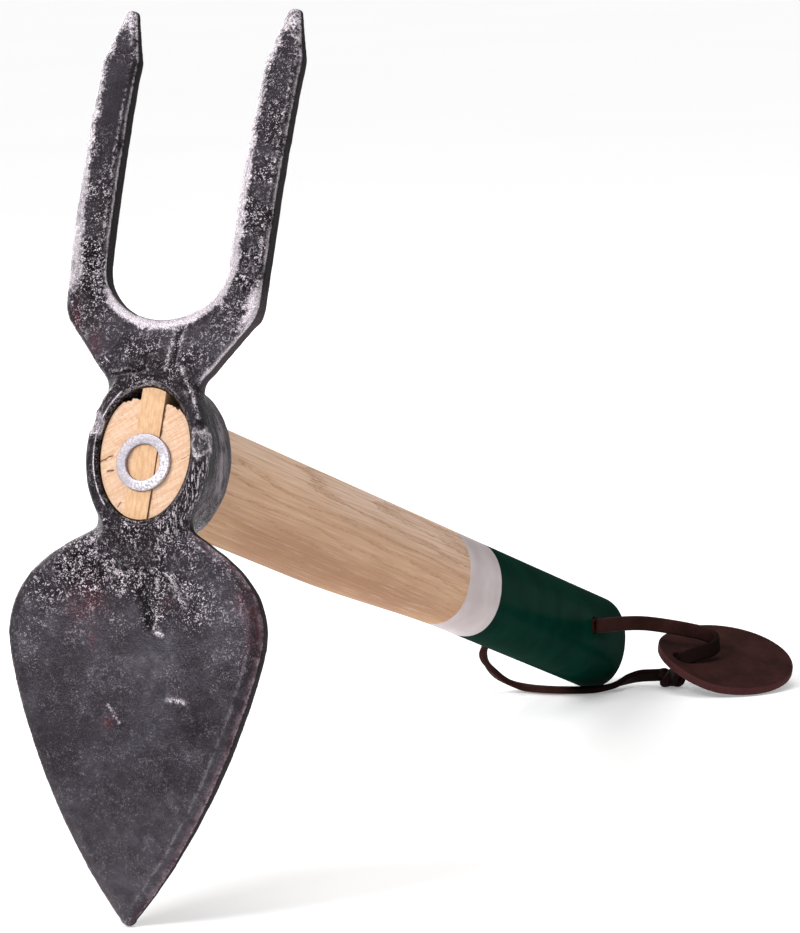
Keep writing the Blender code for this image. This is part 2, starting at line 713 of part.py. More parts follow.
def strap(name, points, tilts, finish, parent):
    """A flat strap of the lace along points, each with the angle that its width is turned by."""
    curve = bpy.data.curves.new(name, "CURVE")
    curve.dimensions = "3D"
    curve.twist_mode = "Z_UP"
    curve.fill_mode = "FULL"
    curve.bevel_depth = LACE_THICKNESS / 2
    curve.extrude = (LACE_WIDTH - LACE_THICKNESS) / 2
    curve.bevel_resolution = 2
    curve.use_fill_caps = True
    line = curve.splines.new("POLY")
    line.points.add(len(points) - 1)
    for point, place_at, tilt in zip(line.points, points, tilts):
        point.co = (*place_at, 1.0)
        point.tilt = math.radians(tilt)
    return place(name, curve, finish, parent)


def free_strap(name, side, route, tilts, finish, contact, frame):
    """A free run of the lace, from just outside the bore's mouth on one side along its route."""
    mouth = Vector((side * (bore_mouth() + CLEARANCE), BORE_AT, BORE_RISE))
    turn = frame.rotation_euler.to_matrix()
    start = turn @ mouth + frame.location - contact.location
    lead = start + Vector((side * LACE_THICKNESS, 0, 0))
    points, at, length = smooth_route([tuple(lead), *route], LACE_STEP)
    own = (-side * math.degrees(frame.rotation_euler.x), *tilts)
    turns = np.interp(at, np.arange(len(own)), own)
    print(name, "is", round(length + LACE_THICKNESS, 4), "m long")
    return strap(name, [tuple(start), *points], [own[0], *turns], finish, contact)


def bore_mouth():
    """Half of the handle's width where the bore comes out."""
    share = (BORE_AT - GRIP_START) / (HANDLE_LENGTH - GRIP_START)
    return (GRIP_WIDTH + (GRIP_END_WIDTH - GRIP_WIDTH) * share) / 2


def lace(finish, frame, contact):
    """The flat lace: held in the bore, free over the tag on the right and round to the knot on the left."""
    mouth = bore_mouth()
    held = [(x, BORE_AT, BORE_RISE) for x in np.linspace(-mouth, mouth, 4)]
    strap("lace_in_bore", held, (0, 0, 0, 0), finish, frame)
    free_strap("lace_upper", 1, UPPER_ROUTE, UPPER_TILTS, finish, contact, frame)
    free_strap("lace_lower", -1, LOWER_ROUTE, LOWER_TILTS, finish, contact, frame)


def lace_knot(finish, contact):
    """The knot of the two lace ends, a flattened lump with a waist where the turns cross."""
    rows = []
    for rise in np.linspace(-math.pi / 2, math.pi / 2, 11)[1:-1]:
        turn = np.linspace(0, 2 * math.pi, 20, endpoint=False)
        swell = (1 + 0.12 * np.cos(2 * turn + 2 * rise)) * math.cos(rise)
        x, y = (KNOT_SIZE[k] / 2 * swell * way for k, way in enumerate((np.cos(turn), np.sin(turn))))
        z = np.full(len(turn), KNOT_SIZE[2] / 2 * math.sin(rise))
        rows.append(np.stack([x, y, z], -1))
    made = solid("lace_knot", *loft(rows), finish, contact)
    made.location = KNOT_PLACE
    return made


def leather_tag(finish, contact):
    """The round tag, with its hole towards the handle and the rim beside the hole curled up."""
    hole = -TAG_HOLE_OUT
    turns = np.linspace(0, 2 * math.pi, 40, endpoint=False)
    outer = np.stack([np.cos(turns), np.sin(turns)], -1) * TAG_DIAMETER / 2
    inner = np.stack([np.cos(turns), np.sin(turns)], -1) * TAG_HOLE_DIAMETER / 2 + np.array((hole, 0))
    half, soft = TAG_THICKNESS / 2, TAG_THICKNESS * 0.22
    profile = [(0, -half + soft), (0, half - soft), (0.04, half), (0.25, half), (0.5, half), (0.75, half),
               (0.97, half), (1, half - soft), (1, -half + soft), (0.97, -half), (0.75, -half),
               (0.5, -half), (0.25, -half), (0.04, -half)]
    rows = []
    for inside, outside in zip(inner, outer):
        row = []
        for share, height in profile:
            x, y = inside + (outside - inside) * share
            curl = TAG_CURL * max(0.0, (-x - (TAG_DIAMETER / 2 - TAG_CURL_REACH)) / TAG_CURL_REACH) ** 1.6
            row.append((x, y, height + curl))
        rows.append(row)
    made = solid("leather_tag", *ringed([np.array(r) for r in rows]), finish, contact)
    axis = Vector((-math.sin(TAG_LEAN_TO), math.cos(TAG_LEAN_TO), 0))
    made.rotation_mode = "AXIS_ANGLE"
    made.rotation_axis_angle = (TAG_TILT, *axis)
    made.data.transform(hole_turn())
    made.location = TAG_CENTRE
    return made


def hole_turn():
    """The turn of the tag in its own plane that brings its hole round to the handle."""
    return Matrix.Rotation(TAG_HOLE_TO - math.pi, 4, "Z")


clear_scene()
steel = material("forged_steel", (0.045, 0.043, 0.046), 0.42, 0.9)
ash = material("ash_wood", (0.62, 0.44, 0.27), 0.5, 0.0)
wedge_wood = material("wedge_wood", (0.66, 0.43, 0.22), 0.6, 0.0)
ring_steel = material("ring_steel", (0.55, 0.54, 0.56), 0.35, 1.0)
leather = material("leather", (0.035, 0.018, 0.015), 0.6, 0.0)
tool, floor_contact = tool_frame()
forged_head(steel, tool)
handle(ash, tool)
wooden_wedge(wedge_wood, tool)
ring_wedge(ring_steel, tool)
lace(leather, tool, floor_contact)
lace_knot(leather, floor_contact)
leather_tag(leather, floor_contact)
print("pitch", round(math.degrees(-tool.rotation_euler.x), 3), "eye at", tuple(round(v, 5) for v in tool.location))
print("butt on floor at", tuple(round(v, 5) for v in floor_contact.location))
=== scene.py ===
import math

import bmesh
import bpy
import numpy as np
from mathutils import Matrix, Vector


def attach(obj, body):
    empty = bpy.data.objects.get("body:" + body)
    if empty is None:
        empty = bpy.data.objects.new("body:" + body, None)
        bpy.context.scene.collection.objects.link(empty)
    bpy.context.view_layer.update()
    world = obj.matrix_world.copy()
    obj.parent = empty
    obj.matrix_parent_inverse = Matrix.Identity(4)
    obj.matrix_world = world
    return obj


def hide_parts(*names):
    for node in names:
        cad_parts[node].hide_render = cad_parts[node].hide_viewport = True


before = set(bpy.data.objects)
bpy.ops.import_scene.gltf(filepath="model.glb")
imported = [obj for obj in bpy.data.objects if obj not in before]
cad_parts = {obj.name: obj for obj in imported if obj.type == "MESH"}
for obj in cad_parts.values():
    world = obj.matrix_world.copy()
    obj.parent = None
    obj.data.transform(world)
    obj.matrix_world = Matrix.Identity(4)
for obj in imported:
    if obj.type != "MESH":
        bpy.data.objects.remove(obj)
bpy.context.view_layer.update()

# The view: the photograph's angle, from low at the right front. A long lens far off shows the tool
# with hardly any perspective.
VIEW_PLACE = (0.54082, -1.32198, 0.28504)
VIEW_RIGHT = (0.9280965, 0.3711328, -0.0299546)
VIEW_UP = (-0.0214393, 0.1335829, 0.9908057)
VIEW_LENS = 192.93
VIEW_SENSOR = 36.0


def stood(name, data):
    """A new object in the scene, of a name and its data."""
    made = bpy.data.objects.new(name, data)
    bpy.context.scene.collection.objects.link(made)
    return made


camera_data = bpy.data.cameras.new("view")
camera_data.lens = VIEW_LENS
camera_data.sensor_width = VIEW_SENSOR
camera = stood("view", camera_data)
view_axes = Matrix((VIEW_RIGHT, VIEW_UP, Vector(VIEW_RIGHT).cross(Vector(VIEW_UP)))).transposed()
camera.matrix_world = Matrix.Translation(VIEW_PLACE) @ view_axes.to_4x4()
bpy.context.scene.camera = camera


# Forged head: one piece of carbon steel, hammered and punched into an eye with two tines above and
# a heart-shaped blade below. Its front edges are ground to bevels and clear lacquer covers the rest.
# It is drawn upright in the tool's own frame, x across, y to the butt, z up, and turned down by the dip.
DIP = math.radians(17.488)
EYE_PLACE = (0.0, -0.16163, 0.12052)
EYE_HALF = (0.0131, 0.0177)
EYE_BACK_HALF = (0.0113, 0.0161)
EYE_DEPTH = 0.020
EYE_CHAMFER = 0.0007
COLLAR_HALF = (0.0174, 0.0234)
COLLAR_BACK_HALF = (0.0171, 0.0210)
COLLAR_ROUNDING = (0.0026, 0.0036)
COLLAR_BACK_ROUNDING = 0.0014
WAIST = (0.0133, 0.0190)
NECK_START = 0.010
FACE_START = 0.034
FORK_FACE = 0.0023
FORK_BEND = (0.0226, 0.335)
TINE_SHOULDER_REACH = 0.1076
TINE_TIP_REACH = 0.1224
TINE_WIDTH = 0.0106
TINE_TIP_WIDTH = 0.0040
TINE_INNER = (0.0183, 0.0174)
CROTCH_REACH = 0.0357
CROTCH_ROUND = 0.0150
FORK_HIP = (0.0275, 0.0369)
FORK_HIP_RADIUS = 0.0095
FORK_WAIST_RADIUS = 0.0025
FORK_THICKNESSES = ((0.034, 0.036, 0.0717, 0.1076, 0.1224), (0.0052, 0.0062, 0.0058, 0.0050, 0.0032))
FORK_BEVEL = (0.0016, 0.0010)
BLADE_FACE = 0.0039
BLADE_PROUD = 0.0011
BLADE_NECK_END = 0.022
BLADE_BEND = (0.040, 0.270)
BLADE_HALF_WIDTH = 0.0362
BLADE_WIDEST_REACHES = (0.0456, 0.0470)
BLADE_TIP_REACH = 0.1206
BLADE_TIP_HALF = 0.0023
BLADE_TIP_ROUNDING = 0.0016
BLADE_FULLNESS = (0.65, 0.73)
BLADE_THICKNESSES = ((0.019, 0.034, 0.082, 0.1206), (0.0052, 0.0050, 0.0052, 0.0028))
BLADE_BEVEL = (0.0034, 0.0013)
SHOULDER_PULLS = ((0.50, 0.25, 0.41), (0.178, 0.126, 0.388))
FLANK_PULLS = (0.11, 0.63)
BACK_CHAMFER = 0.0006
HEAD_VOXEL = 0.00050


def turned_down(points):
    """Points of the tool's frame in the room: a turn about x by the dip, then a shift to the eye."""
    x, y, z = np.moveaxis(np.asarray(points, float), -1, 0)
    c, s = math.cos(DIP), math.sin(DIP)
    return np.stack([x, y * c + z * s, z * c - y * s], -1) + np.array(EYE_PLACE)


def levelled(points):
    """Points of the room in the tool's frame: the turn and shift of turned_down, undone."""
    x, y, z = np.moveaxis(np.asarray(points, float) - np.array(EYE_PLACE), -1, 0)
    c, s = math.cos(DIP), math.sin(DIP)
    return np.stack([x, y * c - z * s, y * s + z * c], -1)


def between(ends, share):
    """What lies a share of the way from the first end to the second."""
    return ends[0] + (ends[1] - ends[0]) * share


def unit(ways):
    """Directions brought to length 1."""
    return ways / np.linalg.norm(ways, axis=-1, keepdims=True)


def eased(value, start, end):
    """A cubic step: 0 up to start, 1 from end on, level at both, 3u^2 - 2u^3 between."""
    u = np.clip((np.asarray(value, float) - start) / (end - start), 0, 1)
    return u * u * (3 - 2 * u)


def pulled(a, b, c, d, steps):
    """A cubic curve from a to d, drawn towards b as it leaves and from c as it arrives."""
    t = np.linspace(0, 1, steps, endpoint=False)[:, None]
    a, b, c, d = (np.array(p, float) for p in (a, b, c, d))
    return (1 - t) ** 3 * a + 3 * (1 - t) ** 2 * t * b + 3 * (1 - t) * t * t * c + t**3 * d


def full_turn(steps):
    """Evenly spaced angles once round."""
    return np.linspace(0, 2 * math.pi, steps, endpoint=False)


def squared(wave, power):
    """A sine or cosine w bent towards a square, sign(w) |w|^(2/n)."""
    return np.sign(wave) * np.abs(wave) ** (2 / power)


def oval(half, steps, power=2.0):
    """A superellipse |x/a|^n + |z/b|^n = 1 as evenly turned points."""
    turn = full_turn(steps)
    x, z = squared(np.cos(turn), power) * half[0], squared(np.sin(turn), power) * half[1]
    return np.stack([x, np.zeros(steps), z], -1)


def grid_faces(rows, columns, rows_close):
    """Corner numbers of the squares between neighbouring rows and columns of a grid of points."""
    i = np.arange(rows if rows_close else rows - 1)[:, None]
    j = np.arange(columns)[None, :]
    n, m = (i + 1) % rows, (j + 1) % columns
    corners = [i * columns + j, i * columns + m, n * columns + m, n * columns + j]
    return np.stack(corners, -1).reshape(-1, 4)


def piece(name, grids, rows_close=False):
    """A closed, smooth mesh object of one or more grids of points, ends capped unless the rows close."""
    points, faces, start = [], [], 0
    for grid in grids:
        rows, columns = grid.shape[:2]
        points.append(grid.reshape(-1, 3))
        faces += (grid_faces(rows, columns, rows_close) + start).tolist()
        if not rows_close:
            faces.append((start + np.arange(columns)).tolist())
            faces.append((start + (rows - 1) * columns + np.arange(columns)[::-1]).tolist())
        start += rows * columns
    mesh = bpy.data.meshes.new(name)
    mesh.from_pydata(np.concatenate(points).tolist(), [], faces)
    form = bmesh.new()
    form.from_mesh(mesh)
    bmesh.ops.recalc_face_normals(form, faces=form.faces)
    form.to_mesh(mesh)
    form.free()
    mesh.shade_smooth()
    return stood(name, mesh)


def apply_all(made):
    """Work an object's modifiers into its mesh."""
    graph = bpy.context.evaluated_depsgraph_get()
    mesh = bpy.data.meshes.new_from_object(made.evaluated_get(graph))
    made.modifiers.clear()
    old, made.data = made.data, mesh
    mesh.name = made.name
    bpy.data.meshes.remove(old)


def cut(made, cutter):
    """Take a cutter out of an object. The cutter is removed."""
    step = made.modifiers.new("cut", "BOOLEAN")
    step.operation = "DIFFERENCE"
    step.object = cutter
    step.solver = "EXACT"
    apply_all(made)
    bpy.data.objects.remove(cutter, do_unlink=True)


def triples(items, name):
    """Three numbers of each item as an array."""
    flat = np.empty(len(items) * 3, np.float32)
    items.foreach_get(name, flat)
    return flat.reshape(-1, 3).astype(float)


def points_of(mesh):
    """The mesh's points as an array."""
    return triples(mesh.vertices, "co")


def normals_of(mesh):
    """The mesh's point normals as an array."""
    return triples(mesh.vertex_normals, "vector")


def put_points(mesh, points):
    """Write an array back as the mesh's points."""
    mesh.vertices.foreach_set("co", np.asarray(points, np.float32).ravel())
    mesh.update()


def settled(made, angle):
    """Turn a piece down into place. Its edges sharper than an angle in degrees stay crisp."""
    put_points(made.data, turned_down(points_of(made.data)))
    made.data.set_sharp_from_angle(angle=math.radians(angle))


def relaxed(mesh, values, share, rounds):
    """Rows of values, one for each point, moved in rounds a share of the way to their neighbours' mean."""
    ends = np.empty(len(mesh.edges) * 2, np.int64)
    mesh.edges.foreach_get("vertices", ends)
    a, b = ends.reshape(-1, 2).T
    size = len(values)
    count = np.bincount(np.concatenate([a, b]), minlength=size)[:, None]
    share = np.broadcast_to(share, size)[:, None]
    for _ in range(rounds):
        sums = [np.bincount(a, column[b], size) + np.bincount(b, column[a], size) for column in values.T]
        values = values + share * (np.stack(sums, -1) / count - values)
    return values


def plate(inner, outer, front, thickness, bevel):
    """A forged plate as one grid: each row is a closed section between an inner and an outer edge point.

    Across a row the front is flat but for a bevel on each edge, and the back has a small chamfer, neither
    wider than 0.3 of the row. front and thickness give the depths at a reach |z|.
    """
    inner, outer = np.asarray(inner, float), np.asarray(outer, float)
    width = np.linalg.norm(outer - inner, axis=1)[:, None]
    wide = np.minimum(bevel[0], 0.3 * width)
    thin = np.minimum(BACK_CHAMFER, 0.3 * width)
    middle = np.linspace(0, 1, 12)[None, :]
    ramp = np.linspace(0, 1, 4, endpoint=False)[None, :]
    edge, slope = wide * ramp, bevel[1] * (1 - ramp)
    share = np.concatenate([edge, wide + (width - 2 * wide) * middle, width - edge[:, ::-1]], 1) / width
    sunk = np.concatenate([slope, 0 * middle, slope[:, ::-1]], 1) + 0 * width
    back = np.concatenate([0 * width + 1, 1 - (thin + (width - 2 * thin) * middle) / width, 0 * width], 1)
    back_sunk = np.concatenate([thin, 0 * middle + 0 * width, thin], 1)
    shares = np.concatenate([share, back], 1)[..., None]
    flat = inner[:, None, :] + (outer - inner)[:, None, :] * shares
    reach = np.abs(flat[..., 1])
    depth = front(reach)
    ahead = share.shape[1]
    depth[:, :ahead] += sunk
    depth[:, ahead:] += thickness(reach[:, ahead:]) - back_sunk
    return np.stack([flat[..., 0], depth, flat[..., 1]], -1)


def bent_back(reach, start, radius):
    """How far an arc that leaves the level at its start has gone back, r - (r^2 - d^2)^0.5."""
    return radius - np.sqrt(radius**2 - np.maximum(reach - start, 0) ** 2)


def fork_front(reach):
    """The fork's face: level by the eye, then an arc back to the handle."""
    return FORK_FACE + bent_back(reach, *FORK_BEND)


def fork_thickness(reach):
    """Thick at the yoke, thin at the points."""
    return np.interp(reach, *FORK_THICKNESSES)


def blade_front(reach):
    """The blade's face: a neck that stands proud, a level face, then an arc back to the handle."""
    neck = BLADE_PROUD * (1 - eased(reach, BLADE_NECK_END, FACE_START))
    return BLADE_FACE - neck + bent_back(reach, *BLADE_BEND)


def blade_thickness(reach):
    """Even over shoulders and flanks, thinnest at the tip."""
    return np.interp(reach, *BLADE_THICKNESSES)


def blade_side(widest, fullness, pulls):
    """(half width, reach) down one side of the blade: neck, round shoulder, long flank, blunt point."""
    rise, run = BLADE_HALF_WIDTH - WAIST[0], widest - WAIST[1]
    neck = np.stack([np.full(8, WAIST[0]), np.linspace(NECK_START, WAIST[1], 8, endpoint=False)], -1)
    shoulder = pulled(WAIST, (WAIST[0] + pulls[0] * rise, WAIST[1] + pulls[1] * run),
                      (BLADE_HALF_WIDTH, WAIST[1] + pulls[2] * run), (BLADE_HALF_WIDTH, widest), 44)
    point = BLADE_TIP_REACH - BLADE_TIP_ROUNDING
    run = point - widest
    flank = pulled((BLADE_HALF_WIDTH, widest), (BLADE_HALF_WIDTH, widest + FLANK_PULLS[0] * run),
                   (BLADE_HALF_WIDTH * fullness, widest + FLANK_PULLS[1] * run),
                   (BLADE_TIP_HALF, point), 90)
    turn = np.linspace(0, math.pi / 2, 7)[:-1]
    tip = np.stack([BLADE_TIP_HALF * np.cos(turn), point + BLADE_TIP_ROUNDING * np.sin(turn)], -1)
    return np.concatenate([neck, shoulder, flank, tip])


def run_along(line):
    """How far along a line each of its points lies."""
    return np.concatenate([[0], np.cumsum(np.linalg.norm(np.diff(line, axis=0), axis=1))])


def read_off(line, run, steps):
    """A line's points at given distances along it."""
    return np.stack([np.interp(steps, run, column) for column in line.T], -1)


def rounded(corners, radii, steps):
    """A polyline with its corners turned as arcs, as evenly spaced points."""
    corners = [np.array(c, float) for c in corners]
    line = [corners[0][None]]
    for before, corner, after, radius in zip(corners, corners[1:], corners[2:], radii):
        back, ahead = unit(before - corner), unit(after - corner)
        half = math.acos(np.clip(back @ ahead, -1, 1)) / 2
        centre = corner + unit(back + ahead) * radius / math.sin(half)
        start, end = (corner + way * radius / math.tan(half) - centre for way in (back, ahead))
        share = np.linspace(0, 1, 9)[:, None]
        line.append(centre + unit(start * (1 - share) + end * share) * radius)
    line = np.concatenate([*line, corners[-1][None]])
    run = run_along(line)
    return read_off(line, run, np.linspace(0, run[-1], steps))


def fork_sides():
    """Inner and outer edge points of the fork's right half, from the tine's tip to the middle of the yoke."""
    middle = TINE_INNER[0] + TINE_WIDTH / 2
    turn = np.linspace(math.pi / 2, 0, 6)[1:]
    half = TINE_TIP_WIDTH / 2 * np.cos(turn)
    tip = TINE_TIP_REACH - BACK_CHAMFER * 2 * (1 - np.sin(turn))
    share = np.linspace(0, 1, 15)[1:]
    half = np.concatenate([half, between((TINE_TIP_WIDTH, TINE_WIDTH), share) / 2])
    reach = np.concatenate([tip, between((tip[-1], TINE_SHOULDER_REACH), share)])
    point = [np.stack([middle - half, reach], -1), np.stack([middle + half, reach], -1)]
    share = np.linspace(0, 1, 60)[1:-1]
    straight = CROTCH_REACH + CROTCH_ROUND
    half, reach = between(TINE_INNER, share), between((TINE_SHOULDER_REACH, straight), share)
    tine = [np.stack([half, reach], -1), np.stack([half + TINE_WIDTH, reach], -1)]
    neck = ((WAIST[0], NECK_START), (0.0, NECK_START))
    corners = ((TINE_INNER[1] + TINE_WIDTH, straight), FORK_HIP, WAIST, *neck)
    outer = rounded(corners, (FORK_HIP_RADIUS, FORK_WAIST_RADIUS, FORK_WAIST_RADIUS), 60)
    turn = np.linspace(0, math.pi / 2, 60)
    inner = np.stack([TINE_INNER[1] * np.cos(turn), straight - CROTCH_ROUND * np.sin(turn)], -1)
    return np.concatenate([point[0], tine[0], inner]), np.concatenate([point[1], tine[1], outer])


def fork_plate():
    """The whole fork, from one tip round the crotch to the other: the right half and its mirror image."""
    right = plate(*fork_sides(), fork_front, fork_thickness, FORK_BEVEL)
    left = right[-2::-1] * np.array((-1, 1, 1))
    return np.concatenate([right, left])


def blade_plate():
    """The whole blade, from inside the eye to the point."""
    sides = zip(BLADE_WIDEST_REACHES, BLADE_FULLNESS, SHOULDER_PULLS)
    left, right = (blade_side(*values) for values in sides)
    return plate(-left, right * np.array((1, -1)), blade_front, blade_thickness, BLADE_BEVEL)


def tapered_ovals(front, back, y, grow, steps):
    """Ovals at depths y on the way from a front to a back one, each grown evenly outwards."""
    rows = between((oval(front, steps), oval(back, steps)), (y / EYE_DEPTH)[:, None, None])
    rows = rows + unit(rows) * grow[:, None, None]
    rows[..., 1] = y[:, None]
    return rows


def collar_boss():
    """The eye before it is punched: an oval boss, domed in front by a quarter ellipse, rounded behind."""
    turn = np.linspace(0, math.pi / 2, 10)
    late, soon = 1 - np.cos(turn), 1 - np.sin(turn)
    inset = np.concatenate([COLLAR_ROUNDING[0] * soon, COLLAR_BACK_ROUNDING * late])
    y = np.concatenate([COLLAR_ROUNDING[1] * late, EYE_DEPTH - COLLAR_BACK_ROUNDING * soon])
    return tapered_ovals(COLLAR_HALF, COLLAR_BACK_HALF, y, -inset, 128)


def eye_drift():
    """What the drift punches out of the boss: a tapered oval with a chamfer at the front rim."""
    y = np.array([-3 * EYE_CHAMFER, EYE_CHAMFER, EYE_DEPTH / 2, EYE_DEPTH * 1.3])
    return tapered_ovals(EYE_HALF, EYE_BACK_HALF, y, np.maximum(EYE_CHAMFER - y, 0), 160)


# Blows of the hammer: a shallow round dish each, its depth 1 at the middle, easing to 0 at its edge.
BLOWS = 190
BLOW_FIELD = ((-0.036, 0.036), (-0.120, 0.122))
BLOW_BACK_SHIFT = 0.011
BLOW_RADIUS = (0.0035, 0.0085)
BLOW_DEPTH = (0.00003, 0.00010)
UNEVENNESS = ((0.00004, 0.006, 3), (0.00006, 0.018, 4))
PEEN_MARKS = (((-0.0143, 0.0074), (0.0022, 0.0031)), ((0.0156, 0.0030), (0.0023, 0.0037)))
PEEN_DEPTH = 0.0006
# The necks of fork and blade stand forward beside the collar: reach of start and end, and depth of the face.
NECK_FORWARD = ((0.0175, 0.0310, 0.0023), (0.0175, 0.0300, 0.0029))
NECK_HALF = (0.0085, 0.0125)
# Creases, flakes and scratches on the face: two ends, width and height, all in metres.
MARKS = (
    ((-0.0069, -0.0300), (0.0030, -0.0303), 0.0006, -0.00035),
    ((-0.0062, -0.0308), (-0.0030, -0.0316), 0.0008, 0.00060),
    ((0.0057, -0.0322), (0.0060, -0.0345), 0.0005, 0.00050),
    ((0.0085, -0.0310), (0.0110, -0.0342), 0.0006, 0.00060),
    ((0.0110, -0.0342), (0.0116, -0.0366), 0.0006, 0.00060),
    ((0.0124, -0.0374), (0.0140, -0.0390), 0.0008, 0.00070),
    ((0.0010, -0.0340), (0.0044, -0.0445), 0.0017, -0.00075),
    ((0.0069, -0.0417), (0.0056, -0.0456), 0.0004, 0.00040),
    ((0.0056, -0.0458), (0.0085, -0.0470), 0.0005, 0.00050),
    ((0.0040, 0.0225), (0.0044, 0.0300), 0.0005, 0.00030),
    ((0.0056, 0.0230), (0.0060, 0.0330), 0.0008, -0.00035),
    ((0.0112, -0.0633), (0.0156, -0.0638), 0.0005, 0.00025),
    ((-0.0056, -0.0652), (-0.0020, -0.0698), 0.0004, 0.00018),
    ((-0.0118, 0.0209), (-0.0020, 0.0216), 0.0005, -0.00030),
    ((0.0086, 0.0225), (0.0118, 0.0160), 0.0004, 0.00035),
    ((0.0120, 0.0166), (0.0146, 0.0096), 0.0004, 0.00030),
    ((-0.0130, 0.0135), (-0.0100, 0.0185), 0.0003, 0.00020),
    ((-0.0150, -0.0235), (-0.0105, -0.0212), 0.0008, 0.00030),
    ((0.0140, -0.0215), (0.0200, -0.0262), 0.0003, 0.00015),
)


def dished(x, z, centres, radii, depths):
    """Sum of dishes depth (1 - d^2/r^2)^2 round centres in the plane of the face."""
    total = np.zeros(len(x))
    for (cx, cz), radius, depth in zip(centres, radii, depths):
        u = 1 - ((x - cx) ** 2 + (z - cz) ** 2) / radius**2
        total += depth * np.maximum(u, 0) ** 2
    return total


def stroked(x, z, marks):
    """Sum of long dents and ridges, each a height over a line that falls off as a bell of its width."""
    total = np.zeros(len(x))
    for (ax, az), (bx, bz), width, height in marks:
        dx, dz = bx - ax, bz - az
        share = np.clip(((x - ax) * dx + (z - az) * dz) / (dx * dx + dz * dz), 0, 1)
        total += height * np.exp(-((x - ax - share * dx) ** 2 + (z - az - share * dz) ** 2) / width**2)
    return total


def rippled(points, scale, seed):
    """A smooth uneven field between about -1 and 1: sines along random directions, summed."""
    draw, waves = np.random.default_rng(seed), 14
    ways = unit(draw.normal(size=(waves, 3)))
    pace = draw.uniform(0.6, 1.7, waves) * 2 * math.pi / scale
    return np.sin(points @ (ways * pace[:, None]).T + draw.uniform(0, 6.28, waves)).sum(1) / waves**0.5


def collars_out(points):
    """Distance from the eye's middle, 1 at the collar's outline."""
    return np.hypot(points[:, 0] / COLLAR_HALF[0], points[:, 2] / COLLAR_HALF[1])


def faced_ahead(z, reach, facing):
    """How squarely a point faces out of the plate's bent front: 1 out, 0 aside, -1 out of the back."""
    tilt = np.where(z > 0, np.maximum(reach - FORK_BEND[0], 0) / FORK_BEND[1],
                    -np.maximum(reach - BLADE_BEND[0], 0) / BLADE_BEND[1])
    return -facing[:, 1] * np.cos(tilt) + facing[:, 2] * np.sin(tilt)


head = piece("forged_head_skin", [collar_boss(), blade_plate(), fork_plate()])
join = head.modifiers.new("join", "REMESH")
join.mode = "VOXEL"
join.voxel_size = HEAD_VOXEL
apply_all(head)
spots = points_of(head.data)
reach, by_collar = np.abs(spots[:, 2]), collars_out(spots)
for sign, (start, end, depth) in zip((1, -1), NECK_FORWARD):
    level = depth * eased(reach, start, end)
    beside = 1 - eased(np.abs(spots[:, 0]), *NECK_HALF)
    near_neck = (spots[:, 2] * sign > 0) * beside * (spots[:, 1] < 0.006)
    near_neck = near_neck * eased(reach, start - 0.001, start + 0.001) * (1 - eased(reach, end, end + 0.002))
    spots[:, 1] += near_neck * np.minimum(level - spots[:, 1], 0)
weld = eased(by_collar, 0.86, 1.0) * (1 - eased(by_collar, 1.12, 1.35)) * eased(spots[:, 1], 0.0002, 0.0016)
spots = relaxed(head.data, spots, 0.5, 2)
spots = relaxed(head.data, spots, 0.6 * weld, 22)
put_points(head.data, spots)
facing = normals_of(head.data)
ahead = faced_ahead(spots[:, 2], reach, facing)
blow_draw = np.random.default_rng(7)
blow_places = np.stack([blow_draw.uniform(*span, BLOWS) for span in BLOW_FIELD], -1)
blow_radii = blow_draw.uniform(*BLOW_RADIUS, BLOWS)
blow_depths = blow_draw.uniform(*BLOW_DEPTH, BLOWS)
flat_part = eased(np.abs(ahead), 0.6, 0.95)
blow_x = spots[:, 0] + BLOW_BACK_SHIFT * np.sign(ahead)
sink = dished(blow_x, spots[:, 2], blow_places, blow_radii, blow_depths) * flat_part
small, large = (size * rippled(spots, *grain) for size, *grain in UNEVENNESS)
sink += small + large * flat_part
in_front = (spots[:, 1] < 0.012) & (facing[:, 1] < -0.15)
sink -= np.where(in_front, stroked(spots[:, 0], spots[:, 2], MARKS), 0)
for (cx, cz), (half_x, half_z) in PEEN_MARKS:
    d = np.hypot((spots[:, 0] - cx) / half_x, (spots[:, 2] - cz) / half_z)
    dent = PEEN_DEPTH * (np.maximum(1 - d**2, 0) - 0.4 * np.exp(-((d - 1.1) / 0.2) ** 2))
    sink += np.where(in_front & (spots[:, 1] < 0.005), dent, 0)
put_points(head.data, spots - facing * sink[:, None])
cut(head, piece("eye_drift", [eye_drift()]))
head.data.shade_smooth()
settled(head, 38)


# Places in the materials are in millimetres, most of them in the tool's own frame.
MILLIMETRES = (1000, 1000, 1000)
TOOL_TURN = (DIP, 0.0, 0.0)
TOOL_SHIFT = tuple(-(Matrix.Rotation(DIP, 3, "X") @ Vector(EYE_PLACE)))


def worked(operation, turned=False):
    """An operator of Flow: one Math node over both values, turned round in a reflected form."""
    return lambda a, b: a.maths(operation, *((b, a) if turned else (a, b)))


